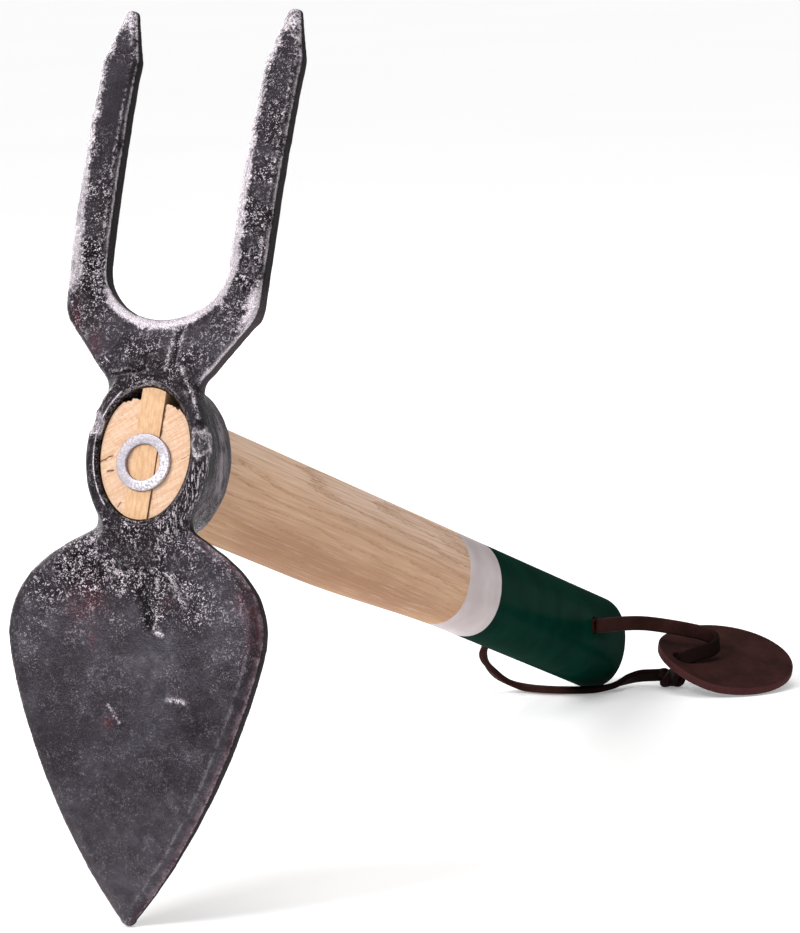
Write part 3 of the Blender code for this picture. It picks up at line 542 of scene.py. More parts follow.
class Flow:
    """A socket's value in a material. Sums, products and powers of it add Math nodes."""

    __add__ = __radd__ = worked("ADD")
    __mul__ = __rmul__ = worked("MULTIPLY")
    __sub__, __rsub__ = worked("SUBTRACT"), worked("SUBTRACT", True)
    __truediv__, __rtruediv__ = worked("DIVIDE"), worked("DIVIDE", True)
    __pow__ = worked("POWER")

    def __init__(self, finish, socket):
        self.finish, self.socket = finish, socket

    def maths(self, operation, *values):
        """One Math node over some values."""
        return self.finish.node("ShaderNodeMath", {"operation": operation}, dict(enumerate(values)))

    def __neg__(self):
        return self * -1.0

    def step(self, low, high):
        """0 below low, 1 above high, a smooth step between."""
        return self.finish.node("ShaderNodeMapRange", {"interpolation_type": "SMOOTHSTEP"},
                                {"Value": self, "From Min": low, "From Max": high})

    def within(self):
        """Held between 0 and 1."""
        return self.finish.node("ShaderNodeClamp", {}, {"Value": self})

    def bell(self):
        """1 at 0, falling off to both sides as 1 / (1 + v^4)."""
        square = self * self
        return 1 / (1 + square * square)


class Finish:
    """A material with one Principled shader, wired by calls."""

    def __init__(self, name):
        self.material = bpy.data.materials.new(name)
        self.material.use_nodes = True
        self.tree = self.material.node_tree
        self.shader = self.tree.nodes["Principled BSDF"]

    def node(self, kind, settings, inputs, output=0):
        """A node of a kind, its settings made first, then each socket given a value or a link."""
        made = self.tree.nodes.new(kind)
        for key, value in settings.items():
            setattr(made, key, value)
        for key, value in inputs.items():
            self.feed(made.inputs[key], value)
        return Flow(self, made.outputs[output])

    def feed(self, socket, value):
        """Give a socket a link or a plain value."""
        if isinstance(value, Flow):
            self.tree.links.new(value.socket, socket)
        elif socket.type == "RGBA" and not isinstance(value, float):
            socket.default_value = (*value, 1.0)
        else:
            socket.default_value = value

    def place(self, turn=(0, 0, 0), shift=(0, 0, 0), stretch=(1, 1, 1)):
        """Object coordinates, scaled, turned and shifted."""
        at = self.node("ShaderNodeTexCoord", {}, {}, "Object")
        return self.node("ShaderNodeMapping", {}, {"Vector": at, "Rotation": turn, "Location": shift,
                                                   "Scale": stretch})

    def parts(self, vector):
        """The three numbers of a vector."""
        split = self.node("ShaderNodeSeparateXYZ", {}, {"Vector": vector})
        return [Flow(self, out) for out in split.socket.node.outputs]

    def joined(self, x, y, z):
        """A vector of three numbers."""
        return self.node("ShaderNodeCombineXYZ", {}, {0: x, 1: y, 2: z})

    def stretched(self, vector, by):
        """A vector times another, number by number."""
        return self.node("ShaderNodeVectorMath", {"operation": "MULTIPLY"}, {0: vector, 1: by})

    def in_tool(self):
        """Millimetres in the tool's own frame."""
        return self.stretched(self.place(TOOL_TURN, TOOL_SHIFT), MILLIMETRES)

    def noise(self, vector, scale, detail=2.0, roughness=0.5, distortion=0.0):
        """Cloudy noise, around 0.5."""
        return self.node("ShaderNodeTexNoise", {}, {"Vector": vector, "Scale": scale, "Detail": detail,
                                                    "Roughness": roughness, "Distortion": distortion})

    def drawn_out(self, vector, by, detail, roughness):
        """Cloudy noise in a place whose three numbers are multiplied first."""
        return self.noise(self.stretched(vector, by), 1.0, detail, roughness)

    def mix(self, share, a, b):
        """Colour a going over to colour b by a share."""
        return self.node("ShaderNodeMix", {"data_type": "RGBA"}, {0: share, 6: a, 7: b}, 2)

    def coats(self, colour, *layers):
        """A colour with screen colours laid over it, each by its share."""
        for share, over in layers:
            colour = self.mix(share, colour, tone(*over))
        return colour

    def attribute(self, name):
        """A value kept with the mesh's points."""
        return self.node("ShaderNodeAttribute", {"attribute_name": name}, {}, "Fac")

    def bump(self, height, strength, distance):
        """A normal that follows a height."""
        return self.node("ShaderNodeBump", {}, {"Height": height, "Strength": strength, "Distance": distance})

    def cover(self, **inputs):
        """Feed the shader's sockets; an underscore in a name stands for a space."""
        for key, value in inputs.items():
            self.feed(self.shader.inputs[key.replace("_", " ")], value)


def tone(red, green, blue):
    """A screen colour, 0 to 255, as linear light."""
    return tuple(c / 12.92 if c <= 0.04045 else ((c + 0.055) / 1.055) ** 2.4
                 for c in (v / 255 for v in (red, green, blue)))


def fitted(made, finish, node):
    """Give a piece its material and put it in the place of its node."""
    made.data.materials.clear()
    made.data.materials.append(finish.material)
    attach(made, "root")
    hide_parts(node)


def keep_value(made, name, values):
    """Keep one number for each point of a mesh."""
    kept = made.data.attributes.new(name, "FLOAT", "POINT")
    kept.data.foreach_set("value", np.asarray(values, np.float32))


def bell(value, middle, width):
    """A bell round a middle, exp(-((v - m) / w)^2)."""
    return np.exp(-(((value - middle) / width) ** 2))


def near(values, places):
    """How near points lie to some places: 1 there, falling off as a bell of each place's radius."""
    total = np.zeros(len(values))
    for place, radius in places:
        total += np.exp(-(((values - np.array(place)) / np.array(radius)) ** 2).sum(1))
    return np.clip(total, 0, 1)


def blurred(values, rounds):
    """One number for each point of the head, evened out over its neighbours in rounds."""
    return relaxed(head.data, values[:, None], 1, rounds)[:, 0]


# What the head's points keep for the steel: where bevels were ground, bare metal with a painted highlight
# where they face left; painted highlight lines on the right edges; edges that wore bright, with painted edge
# highlight; side faces for painted shade; where scale stayed, with its painted glints; and where rust came
# through. Places and radii are metres in the plane of the face, across and up.
RUST_PLACES = (
    ((-0.0139, -0.0386), (0.0050, 0.0050)), ((-0.0051, -0.0696), (0.0018, 0.0018)),
    ((0.0312, -0.0357), (0.0030, 0.0050)), ((0.0345, -0.0441), (0.0022, 0.0080)),
    ((-0.0240, 0.0350), (0.0022, 0.0050)), ((-0.0180, 0.0290), (0.0020, 0.0040)),
    ((0.0089, -0.0378), (0.0013, 0.0022)), ((-0.0110, -0.0475), (0.0012, 0.0026)),
)
# Where scale stays on the steel, which is also where the painted glints gather.
SCALE_AND_GLINT_PLACES = (
    ((0.0, -0.0240), (0.0170, 0.0080)), ((0.0110, -0.0370), (0.0090, 0.0080)),
    ((0.0, 0.0240), (0.0150, 0.0060)), ((-0.0200, 0.0480), (0.0120, 0.0120)),
    ((0.0210, 0.0500), (0.0120, 0.0160)), ((-0.0230, 0.0640), (0.0080, 0.0160)),
    ((0.0240, 0.0800), (0.0080, 0.0260)), ((-0.0230, -0.0330), (0.0080, 0.0060)),
    ((-0.0100, -0.0290), (0.0100, 0.0060)),
)
SMOOTH_PLACES = (((0.0040, -0.0500), (0.0110, 0.0040)), ((-0.0200, 0.0960), (0.0080, 0.0140)))
PIT_PLACES = (
    ((0.0005, -0.0352), (0.0022, 0.0026)), ((0.0042, -0.0420), (0.0017, 0.0044)),
    ((-0.0205, 0.0980), (0.0065, 0.0160)), ((-0.0200, 0.0830), (0.0060, 0.0120)),
    ((0.0185, -0.0700), (0.0045, 0.0045)), ((-0.0080, 0.0290), (0.0060, 0.0035)),
)
# A patch of painted highlight on the left hip.
LEFT_HIP_HIGHLIGHT = (((-0.0262, 0.0460), (0.0050, 0.0070)),)
GROUND_ROUNDS = 34
SIDE_ROUNDS = 9

flat_spots = levelled(points_of(head.data))
level_facing = levelled(normals_of(head.data) + np.array(EYE_PLACE))
off, up = flat_spots[:, 0], flat_spots[:, 2]
by_collar = collars_out(flat_spots)
ahead = faced_ahead(up, np.abs(up), level_facing)
outside = eased(by_collar, 1.05, 1.2)
aside = np.sqrt(np.clip(1 - ahead**2, 0, 1))
fork_part = (up > 0).astype(float)
rusty, scaly_and_glinting, smooth_part, pitted, left_hip_highlight = (
    near(flat_spots[:, [0, 2]], places)
    for places in (RUST_PLACES, SCALE_AND_GLINT_PLACES, SMOOTH_PLACES, PIT_PLACES, LEFT_HIP_HIGHLIGHT))

bevelled = eased(aside, 0.16, 0.40) * eased(ahead, 0.3, 0.6) * outside
# Bevels that face left and up, and both hips, are bare ground metal with a painted highlight laid on.
facing_the_light = eased(-level_facing[:, 0], -0.1, 0.3) + eased(level_facing[:, 2], 0.1, 0.5)
spread = blurred(bevelled * fork_part * np.minimum(facing_the_light, 1), GROUND_ROUNDS)
off_crotch = np.hypot(off, up - CROTCH_REACH - CROTCH_ROUND)
spread = spread * np.maximum(eased(up, 0.040, 0.050), 1 - eased(off_crotch, 0.0205, 0.0230))
flank = (FORK_HIP[0] - WAIST[0]) / (FORK_HIP[1] - WAIST[1])
hip_edge = FORK_HIP[0] - flank * np.maximum(FORK_HIP[1] - up, 0)
hip_highlight = eased(off - hip_edge, -0.0065, -0.0010) * bell(up, FORK_HIP[1] + 0.0015, 0.0075)
ground_and_highlight = spread * (1.7 + 1.0 * (1 - eased(up, 0.060, 0.095))) + 0.95 * hip_highlight + 0.45 * left_hip_highlight

rightward = eased(off, -0.008, 0.012)
side_face = 1 - eased(np.abs(ahead), 0.3, 0.6)
by_side = blurred(side_face, SIDE_ROUNDS)
blade_edge = bevelled * (1 - fork_part) * (0.15 + 0.85 * rightward) * eased(by_side, 0.02, 0.10)
# Painted highlight lines: along the blade bevel's inner border on the right, and on the right edges of the
# tines.
edge_highlight = bell(aside, 0.20, 0.09) * (1 - fork_part) * rightward * eased(-up, 0.045, 0.060)
edge_highlight = edge_highlight + bell(aside, 0.78, 0.16) * fork_part * eased(level_facing[:, 0], 0.05, 0.3)
outward = ((relaxed(head.data, flat_spots, 1, 1) - flat_spots) * level_facing).sum(1)
# Convex edges, worn bright and also given a painted edge highlight.
worn_and_highlit = eased(-outward, 0.00001, 0.00004) * (level_facing[:, 1] < 0.2) * (0.3 + 0.7 * fork_part)
rusty = np.maximum(rusty, 0.6 * eased(by_side, 0.06, 0.30) * (1 - fork_part) * eased(-off, 0.0, 0.003))
scaly_and_glinting = scaly_and_glinting * np.where(up > 0.056, 0.5, 1.0)
for name, values in {
    "ground_and_highlight_edge": np.clip(ground_and_highlight, 0, 1) * (ahead > -0.2),
    "blade_edge": blade_edge,
    "edge_highlight": edge_highlight * outside * (ahead > 0.3),
    "collar": 1 - eased(by_collar, 1.02, 1.12),
    "side_face": side_face,
    "front_face": eased(ahead, 0.1, 0.3),
    "worn_and_highlit_edge": worn_and_highlit * (0.35 + 0.65 * eased(by_collar, 1.0, 1.1)),
    "rust": rusty * (ahead > 0.2) * outside,
    "scale_and_glint_grain": (0.14 + 0.86 * scaly_and_glinting) * (1 - smooth_part),
    "pit": pitted,
}.items():
    keep_value(head, name, values)


def apart(a, b):
    """The length of a way with two legs, (a^2 + b^2)^0.5."""
    return (a * a + b * b) ** 0.5


def stroke(x, z, start, end, width):
    """1 along a mark, falling off as a bell 0.85 as wide as its dent; x and z in millimetres."""
    (ax, az), (bx, bz) = ([1000 * v for v in place] for place in (start, end))
    dx, dz, reach = bx - ax, bz - az, 850 * width
    share = (((x - ax) * dx + (z - az) * dz) / (dx * dx + dz * dz)).within()
    off_x, off_z = (x - ax - share * dx) / reach, (z - az - share * dz) / reach
    square = off_x * off_x + off_z * off_z
    return 1 / (1 + square * square)


def by_mark(x, z, place, half, uneven):
    """How far out of a dent's middle a point lies, 1 on its uneven outline."""
    u, v = (x - place[0] * 1000) / (half[0] * 1000), (z - place[1] * 1000) / (half[1] * 1000)
    return apart(u, v) + uneven


steel = Finish("forged_steel")
at = steel.place(stretch=MILLIMETRES)
cloud = steel.noise(at, 0.07, 3, 0.55)
patch = steel.noise(at, 0.26, 5, 0.62)
swirl = steel.noise(at, 0.75, 4, 0.62, 1.1)
grain = steel.noise(at, 1.7, 3, 0.65)
fine = steel.noise(at, 4.0, 2, 0.6)
spark = steel.noise(at, 3.1, 1, 0.5)
coil = steel.noise(at, 0.5, 2, 0.45, 1.7)
area = steel.noise(at, 0.13, 3, 0.55).step(0.41, 0.56)
streak = steel.drawn_out(at, (0.9, 0.5, 0.13), 4, 0.62)
scratch = steel.drawn_out(at, (2.1, 1.4, 0.42), 2, 0.6)
x, s, z = steel.parts(steel.in_tool())
front, ground_and_highlight, blade_ground, side, collar, rust, scale, worn_and_highlit, edge_highlight, pit = (
    steel.attribute(name)
    for name in ("front_face", "ground_and_highlight_edge", "blade_edge", "side_face", "collar", "rust", "scale_and_glint_grain",
                 "worn_and_highlit_edge", "edge_highlight", "pit"))
# Side faces, apart from the collar's, are painted dark as shade further on.
shaded_side = side * (1 - collar)

# Lacquered steel: dark, clouded, blacker in pits and creases, reddish where it rusts.
dark = steel.coats(
    steel.mix(cloud.step(0.36, 0.64), tone(55, 51, 56), tone(71, 67, 74)),
    ((-z).step(72.0, 112.0) * 0.34, (104, 99, 106)),
    (patch.step(0.60, 0.38) * 0.40, (40, 36, 40)),
    (z.step(40.0, 58.0) * (0.38 + 0.45 * area), (38, 34, 38)),
    (fine.step(0.5, 0.75) * 0.32, (112, 108, 116)),
    ((scale * swirl.step(0.56, 0.44) * (0.5 + 0.5 * area)).within(), (20, 16, 19)),
    (collar * 0.7, (30, 24, 28)),
    (pit * 0.75, (30, 27, 31)),
    ((rust * patch.step(0.36, 0.55)).within() * 0.65, (74, 38, 42)))
strip = steel.mix(patch.step(0.4, 0.6), tone(66, 48, 53), tone(108, 90, 98))
dark = steel.mix((blade_ground * 0.9).within(), dark, strip)

# The eye's rim: a chamfer painted black as shade, with a thin painted highlight line round its left; dents of
# the peen that hold glassy lacquer, their rims and curls painted as highlight, the left dent lighter; and a
# side painted dark as shade with one broad band of painted reflection.
by_rim = apart(x / (EYE_HALF[0] * 1000), z / (EYE_HALF[1] * 1000))
# A thin painted highlight line round the rim, mostly on its left.
rim_highlight_line = ((by_rim - 1.064) / 0.011).bell() * (1 - s.step(0.8, 1.6)) * patch.step(0.43, 0.56)
rim_highlight_line = rim_highlight_line * (0.12 + 0.75 * (-x).step(0.0, 7.0))
uneven = (steel.noise(at, 0.42, 2, 0.5) - 0.5) * 1.3
marks = [by_mark(x, z, place, half, uneven) for place, half in PEEN_MARKS]
out = marks[0].maths("MINIMUM", *marks)
on_rim = 1 - s.step(4.2, 5.6)
# The dents' rims and the curls in their lacquer are painted highlight; the left dent's fill is lighter than
# the right's.
outline = ((out - 0.90) / 0.13).bell() * (0.35 + 0.75 * grain.step(0.40, 0.54))
inside = 1 - out.step(0.78, 0.92)
curl = ((coil - 0.5) / 0.022).bell()
peen_marks_and_highlights = (outline * 0.95 + inside * (curl * 0.95 + 0.10)) * on_rim
# The collar's side: painted dark as shade, with a broad band and a lower patch of painted reflection.
shaded_collar_side = collar * x.step(11.0, 14.0) * s.step(3.6, 5.0)
collar_side_reflection = ((s - 12.4) / 2.3).bell() * z.step(-9.0, -4.0) * streak.step(0.40, 0.56) * 0.95
low_side_reflection = z.step(-3.0, -8.0) * s.step(4.0, 8.0) * (0.10 + 0.32 * streak.step(0.42, 0.56))
glassy = steel.mix((-x).step(0.0, 2.0), tone(46, 41, 46), tone(112, 106, 112))
# The chamfer between rim and wood, painted black as shade.
dark = steel.coats(dark, ((1 - by_rim.step(1.050, 1.062)) * (1 - s.step(2.5, 4.0)) * 0.85, (20, 16, 20)))
dark = steel.coats(
    steel.mix(inside * on_rim * 0.85, dark, glassy),
    (shaded_collar_side * 0.92, (30, 24, 28)),
    ((shaded_collar_side * (collar_side_reflection + low_side_reflection)).within(), (124, 113, 121)))
arc = by_rim.step(1.09, 1.15) * x.step(3.0, 8.0) * (1 - s.step(3.0, 5.0))
arc = arc * z.step(2.0, -1.0) * z.step(-23.0, -19.0)

# Bare bright metal and painted highlights: ground bevels with a mottled border and painted highlight where
# they face left, painted glints on the scale, flakes, creases, worn edges with painted edge highlight,
# painted highlight lines on the right edges.
pale = steel.mix(fine.step(0.35, 0.65), tone(150, 140, 148), tone(238, 229, 236))
mottle = patch * 0.45 + swirl * 0.45 + grain * 0.3
# Ground bevels: bare metal plus painted highlight, brightest where they face left.
bare_and_highlight_share = (ground_and_highlight * 1.3 + mottle * 2.6 - 2.05).step(0.0, 0.6) * ground_and_highlight.step(0.02, 0.16)
low_left = (-x).step(18.0, 24.0) * z.step(84.0, 66.0)
bare_and_highlight_share = bare_and_highlight_share * (1 - low_left * (0.12 + 0.32 * streak.step(0.42, 0.58)))
# Painted glints: bright specks laid into the colour, densest where the scale is.
glint = scale * (swirl * 0.34 + grain * 0.36 + spark * 0.30).step(0.535, 0.565) * (0.25 + 0.9 * area)
glint = (glint * (1 + 0.35 * z.step(0.0, -12.0) - 0.75 * z.step(-48.0, -66.0))).within()
wander_x, wander_z = x + (swirl - 0.5) * 1.5, z + (patch - 0.5) * 2.0
flashes, creases = 0, 0
for start, end, width, rise in MARKS:
    line = stroke(wander_x, wander_z, start, end, width)
    if rise > 0:
        flashes = line * min(1, rise / 0.0004) + flashes
    else:
        creases = line + creases
dark = steel.coats(dark, ((creases * front).within() * 0.8, (19, 16, 19)))
flashes = flashes.within() * front * (swirl * 0.35 + grain * 0.35 + spark * 0.3).step(0.46, 0.54) * 0.95
# The painted highlight lines on the right edges, also along the right flank of the fork.
flank_highlight_line = z.step(17.0, 21.0) * z.step(40.0, 34.0)
ridges = edge_highlight * (patch.step(0.40, 0.54) + flank_highlight_line).within()
ridges = ridges * (0.17 + 0.68 * z.step(-2.0, 2.0) + 0.15 * flank_highlight_line)
light_share = bare_and_highlight_share + glint + flashes + rim_highlight_line + peen_marks_and_highlights + ridges
# Worn edges with painted edge highlight.
light_share = light_share + worn_and_highlit * swirl.step(0.44, 0.56) * 0.8 + arc * scratch.step(0.55, 0.61) * 0.75
light_share = light_share + collar * streak.step(0.56, 0.72) * grain.step(0.3, 0.6) * 0.2
light_share = light_share.within() * (1 - shaded_side * 0.92)
# Painted shade on the side faces, less dark beside the yoke, with no highlight or metal on them.
side_shade = steel.mix(z.step(48.0, 34.0) * z.step(0.0, 12.0), tone(28, 21, 24), tone(66, 56, 60))
colour = steel.mix(shaded_side * 0.9, steel.mix(light_share, dark, pale), side_shade)
height = (swirl * 0.8 + grain * 0.55) * (0.35 + 1.1 * scale + 0.5 * ground_and_highlight)
height = height + fine * 0.22 + patch * 0.6 + streak * collar
metal_share = (0.80 + 0.2 * light_share) * (1 - shaded_side * 0.9) * (1 - shaded_collar_side * 0.85)
roughness = 0.24 + 0.20 * fine + 0.06 * light_share + 0.2 * shaded_side
steel.cover(Base_Color=colour, Metallic=metal_share.within(), Roughness=roughness.within(),
            Normal=steel.bump(height, 0.75, 0.0005), Specular_IOR_Level=0.05)
fitted(head, steel, "forged_head")


# Ash handle: turned and shaved to an oval, with a belly behind the eye. Its front end stands in the
# eye, sawn open for the wedge. A white band and a dark green end are dipped or brushed on.
HANDLE_LENGTH = 0.357
HANDLE_RECESS = 0.0017
CLEARANCE = 0.0003
TENON_TOP = (0.0145, 0.0134)
TENON_STEP_AT = 0.003
TENON_SQUARENESS = 2.7
TENON_RAGGED = 0.00022
TENON_WAVES = ((2300, 0), (5100, 1), (9700, 0))
GRIP = (0.0209, 0.0278)
GRIP_END = (0.0223, 0.0297)
GRIP_START = 0.034
GRIP_RISE = 0.0008
BELLY_DEPTH = 0.0028
BELLY_RUN = (0.110, 0.230)
GRIP_SQUARENESS = 2.15
BUTT_ROUNDING = 0.0036
BORE_AT = 0.3237
BORE_RISE = 0.0015
BORE_RADIUS = 0.0028
WEDGE_THICKNESSES = (0.0066, 0.0026)
WEDGE_LENGTH = 0.0170
WEDGE_LEAN = math.radians(4)
KERF_ROOM = (0.00008, CLEARANCE)
KERF_ENDS = (-0.004, HANDLE_RECESS + WEDGE_LENGTH + 0.0006)
KERF_REACH = 0.04
RING_OUTER = (0.0150, 0.0140)
RING_INNER = (0.0097, 0.0118)
RING_SET_BACK = 0.0004
RING_LENGTH = 0.0140
RING_DROP = 0.0024
RING_ROOM = 0.00012
GROOVE_ENDS = (-0.002, RING_SET_BACK + RING_LENGTH + CLEARANCE)
WHITE_FROM = 0.2125
GREEN_FROM = 0.2390
PITH = (-38.0, -21.0)
YEAR_WIDTH = 1.6
RAY_WAY = (0.875, 0.485)
CRACKS = (
    ((-11.0, -1.6), 29, 5.2, 0.20, 0.0), ((-9.4, -4.7), 12, 2.4, 0.22, 0.0),
    ((11.6, -0.6), 31, 3.6, 0.07, 0.0), ((-6.0, -13.4), 55, 2.0, 0.16, 0.0),
    ((4.1, 7.6), 86, 13.0, 0.26, 0.9), ((2.6, -13.0), 86, 9.0, 0.30, 0.9),
)


def eye_opening(y):
    """Half width and half height of the eye at depths y, less the clearance."""
    into = np.minimum(y, EYE_DEPTH) / EYE_DEPTH
    return [between(ends, into) - CLEARANCE for ends in zip(EYE_HALF, EYE_BACK_HALF)]


def handle_rows(y, inset, steps):
    """Sections of the handle at depths y, each a superellipse whose upper and lower halves differ.

    In the eye a section fills the opening below and is flatter on top; behind it the section eases
    over to the grip, which widens evenly to the butt and has a belly below.
    """
    turn = full_turn(steps)[None, :]
    y, inset = y[:, None], inset[:, None]
    share = np.clip((y - GRIP_START) / (HANDLE_LENGTH - GRIP_START), 0, 1)
    left_eye = eased(y, EYE_DEPTH, GRIP_START)
    eye_width, eye_height = eye_opening(y)
    grip_width, grip_height = (between(ends, share) / 2 for ends in zip(GRIP, GRIP_END))
    rise = GRIP_RISE * (1 - share)
    belly = BELLY_DEPTH * (1 - eased(y, *BELLY_RUN))
    width = between((eye_width, grip_width), left_eye) - inset
    low = between((eye_height, grip_height - rise + belly), left_eye) - inset
    high = between((eye_height, grip_height + rise), left_eye) - inset
    power = 2 + (GRIP_SQUARENESS - 2) * left_eye
    above = np.sin(turn) > 0
    x = squared(np.cos(turn), power) * width
    z = squared(np.sin(turn), power) * np.where(above, high, low)
    ragged = sum(np.sin(x * pace + start) for pace, start in TENON_WAVES)
    top = np.where(x < TENON_STEP_AT, *TENON_TOP) + TENON_RAGGED * ragged
    flat = top * np.clip(1 - np.abs(x / (width * 1.02)) ** TENON_SQUARENESS, 0, 1) ** (1 / TENON_SQUARENESS)
    z = np.where(above & (left_eye < 1), np.minimum(z, between((flat, high), left_eye)), z)
    return np.stack([x, y + 0 * x, z], -1)


def with_ends(rows, rings):
    """Rows of a skin with each end closed by rings that shrink evenly to a small last one."""
    shares = np.linspace(1, 0.02, rings)[1:, None, None]
    front, back = (row.mean(0) + (row - row.mean(0)) * shares for row in (rows[0], rows[-1]))
    return np.concatenate([front[::-1], rows, back])


straight = HANDLE_LENGTH - BUTT_ROUNDING
turn = np.linspace(0, math.pi / 2, 10)[1:]
depths = np.concatenate([
    np.linspace(HANDLE_RECESS, EYE_DEPTH, 16), np.linspace(EYE_DEPTH, GRIP_START, 12)[1:],
    np.linspace(GRIP_START, straight, 120)[1:], straight + BUTT_ROUNDING * np.sin(turn)])
insets = np.concatenate([np.zeros(len(depths) - len(turn)), BUTT_ROUNDING * (1 - np.cos(turn))])
handle = piece("ash_handle", [with_ends(handle_rows(depths, insets, 144), 24)])


def leaned(across, y, along):
    """Points of the wedge's plane, its top leaning to the right."""
    c, s = math.cos(WEDGE_LEAN), math.sin(WEDGE_LEAN)
    return np.stack([across * c + along * s, y + 0 * across, along * c - across * s], -1)


def wedge_half(y):
    """Half of the wooden wedge's thickness at a depth."""
    return between(WEDGE_THICKNESSES, (y - HANDLE_RECESS) / WEDGE_LENGTH) / 2


def kerf_rows():
    """The opened saw kerf, with its room beside the wedge."""
    rows = []
    for y in KERF_ENDS:
        left, right = -wedge_half(y) - KERF_ROOM[0], wedge_half(y) + KERF_ROOM[1]
        rows.append(leaned(np.array([left, right, right, left]), y, KERF_REACH * np.array([-1, -1, 1, 1])))
    return np.array(rows)


def spun(radii, depths, steps):
    """A line of radii and depths carried round the middle of the ring wedge."""
    turn = full_turn(steps)[:, None]
    return np.stack([radii * np.cos(turn), depths + 0 * turn, radii * np.sin(turn) - RING_DROP], -1)


def groove(made):
    """Cut the groove of the conical ring, with some room all round."""
    ends = np.array(GROOVE_ENDS)
    share = (ends - RING_SET_BACK) / RING_LENGTH
    outer = between(RING_OUTER, share) / 2 + RING_ROOM
    inner = between(RING_INNER, share) / 2 - RING_ROOM
    rows = spun(np.array([inner[0], *outer, inner[1]]), ends[[0, 0, 1, 1]], 96)
    cut(made, piece("ring_groove", [rows], rows_close=True))


cut(handle, piece("kerf_saw", [kerf_rows()]))
groove(handle)
bore = oval((BORE_RADIUS, BORE_RADIUS), 48)[:, [1, 0, 2]]
bore_rows = np.array([bore + np.array((x, BORE_AT, BORE_RISE)) for x in (-0.03, 0.03)])
cut(handle, piece("bore_drill", [bore_rows]))
settled(handle, 35)


def slit(x, z, place, angle, length, width):
    """1 along a thin crack through a place at an angle, thinning to nothing at both ends."""
    c, s = math.cos(math.radians(angle)), math.sin(math.radians(angle))
    along = ((x - place[0]) * c + (z - place[1]) * s) / (length / 2)
    away = ((z - place[1]) * c - (x - place[0]) * s) / width
    return (1 - along * along).step(0.0, 0.5) * away.bell()


# Oiled ash: growth rings round a pith beside the handle, made uneven by long soft noise, open pores in the
# early wood and drawn-out fibres, and painted shade that darkens its lower side. Lengths are in millimetres.
ash = Finish("ash_wood")
at = ash.in_tool()
x, s, z = ash.parts(at)
drift = ash.drawn_out(at, (0.09, 0.009, 0.09), 2, 0.5) - 0.5
small = ash.drawn_out(at, (0.7, 0.11, 0.7), 3, 0.6) - 0.5
rings = apart(x - PITH[0], z - PITH[1]) / YEAR_WIDTH + drift * 2.6 + small * 0.55 + s * 0.006
early = 1 - rings.maths("FRACT", rings).step(0.0, 0.42)
pores = ash.drawn_out(at, (2.6, 0.30, 2.6), 2, 0.7)
fibre = ash.drawn_out(at, (1.8, 0.03, 1.8), 4, 0.62)
cloudy = ash.drawn_out(at, (0.06, 0.016, 0.06), 2, 0.5)
dash = (early * pores.step(0.48, 0.66)).within()
# The wood grows darker down its lower side: painted shade.
wood = ash.coats(
    ash.mix(fibre.step(0.3, 0.72), tone(230, 201, 184), tone(213, 181, 160)),
    (z.step(11.0, -2.0) * 0.86, (198, 158, 127)),
    (z.step(-3.0, -13.0) * 0.62, (146, 106, 80)),
    (cloudy.step(0.35, 0.7) * 0.4, (224, 186, 148)),
    (early * 0.44, (182, 142, 110)),
    (dash * 0.55, (156, 114, 80)),
    (fibre.step(0.46, 0.66) * 0.26, (158, 116, 84)),
    (fibre.step(0.46, 0.30) * 0.22, (240, 214, 196)))

# Paint with an uneven edge: a white band, then the dark green end.
painted_at = s + (ash.noise(at, 0.35, 2, 0.5) - 0.5) * 0.5
white, green = ((painted_at - start * 1000).step(-0.12, 0.12) for start in (WHITE_FROM, GREEN_FROM))
paint_cloud = ash.noise(at, 0.08, 3, 0.5)
white_paint = ash.mix(paint_cloud.step(0.3, 0.7), tone(184, 170, 171), tone(198, 186, 187))
green_paint = ash.mix(paint_cloud.step(0.3, 0.7), tone(2, 37, 28), tone(4, 44, 33))

# The sawn front end: paler end grain with slanting rays, pits and dark cracks.
front_face = 1 - s.step(2.0, 2.6)
ray_run, ray_off = x * RAY_WAY[0] + z * RAY_WAY[1], z * RAY_WAY[0] - x * RAY_WAY[1]
ray = ash.noise(ash.joined(ray_run * 0.22, s * 0.3, ray_off * 2.0), 1.0, 3, 0.65)
pits = ash.drawn_out(at, (2.6, 0.2, 2.6), 2, 0.6)
waver = (ash.noise(at, 0.9, 2, 0.6) - 0.5) * 1.1
split = 0
for place, angle, length, width, across in CRACKS:
    split = slit(x + waver * across, z + waver, place, angle, length, width) + split
split = split.within()
end_wood = ash.coats(
    ash.mix(ray.step(0.32, 0.68), tone(238, 206, 180), tone(222, 178, 144)),
    (early * 0.22, (206, 158, 118)),
    ((pits.step(0.60, 0.70) * 0.55).within(), (176, 124, 84)),
    (split * 0.85, (70, 44, 28)))
coat = ash.mix(green, ash.mix(white, wood, white_paint), green_paint)
wood_height = (fibre * 0.5 - dash * 0.7 - early * 0.25) * (1 - white) * (1 - front_face)
wood_height = wood_height + (ray * 0.8 + pits * 0.5 - split * 2.5) * front_face
paint_height = ash.noise(at, 1.3, 2, 0.5) * 0.22 * green + paint_cloud * white * 0.5
ash.cover(Base_Color=ash.mix(front_face, coat, end_wood), Roughness=0.5 + 0.14 * fibre,
          Coat_Weight=0.10 + 0.35 * white - 0.42 * green, Coat_Roughness=0.22, Specular_IOR_Level=0.0,
          Normal=ash.bump(wood_height + paint_height, 0.4, 0.00025))
fitted(handle, ash, "handle")


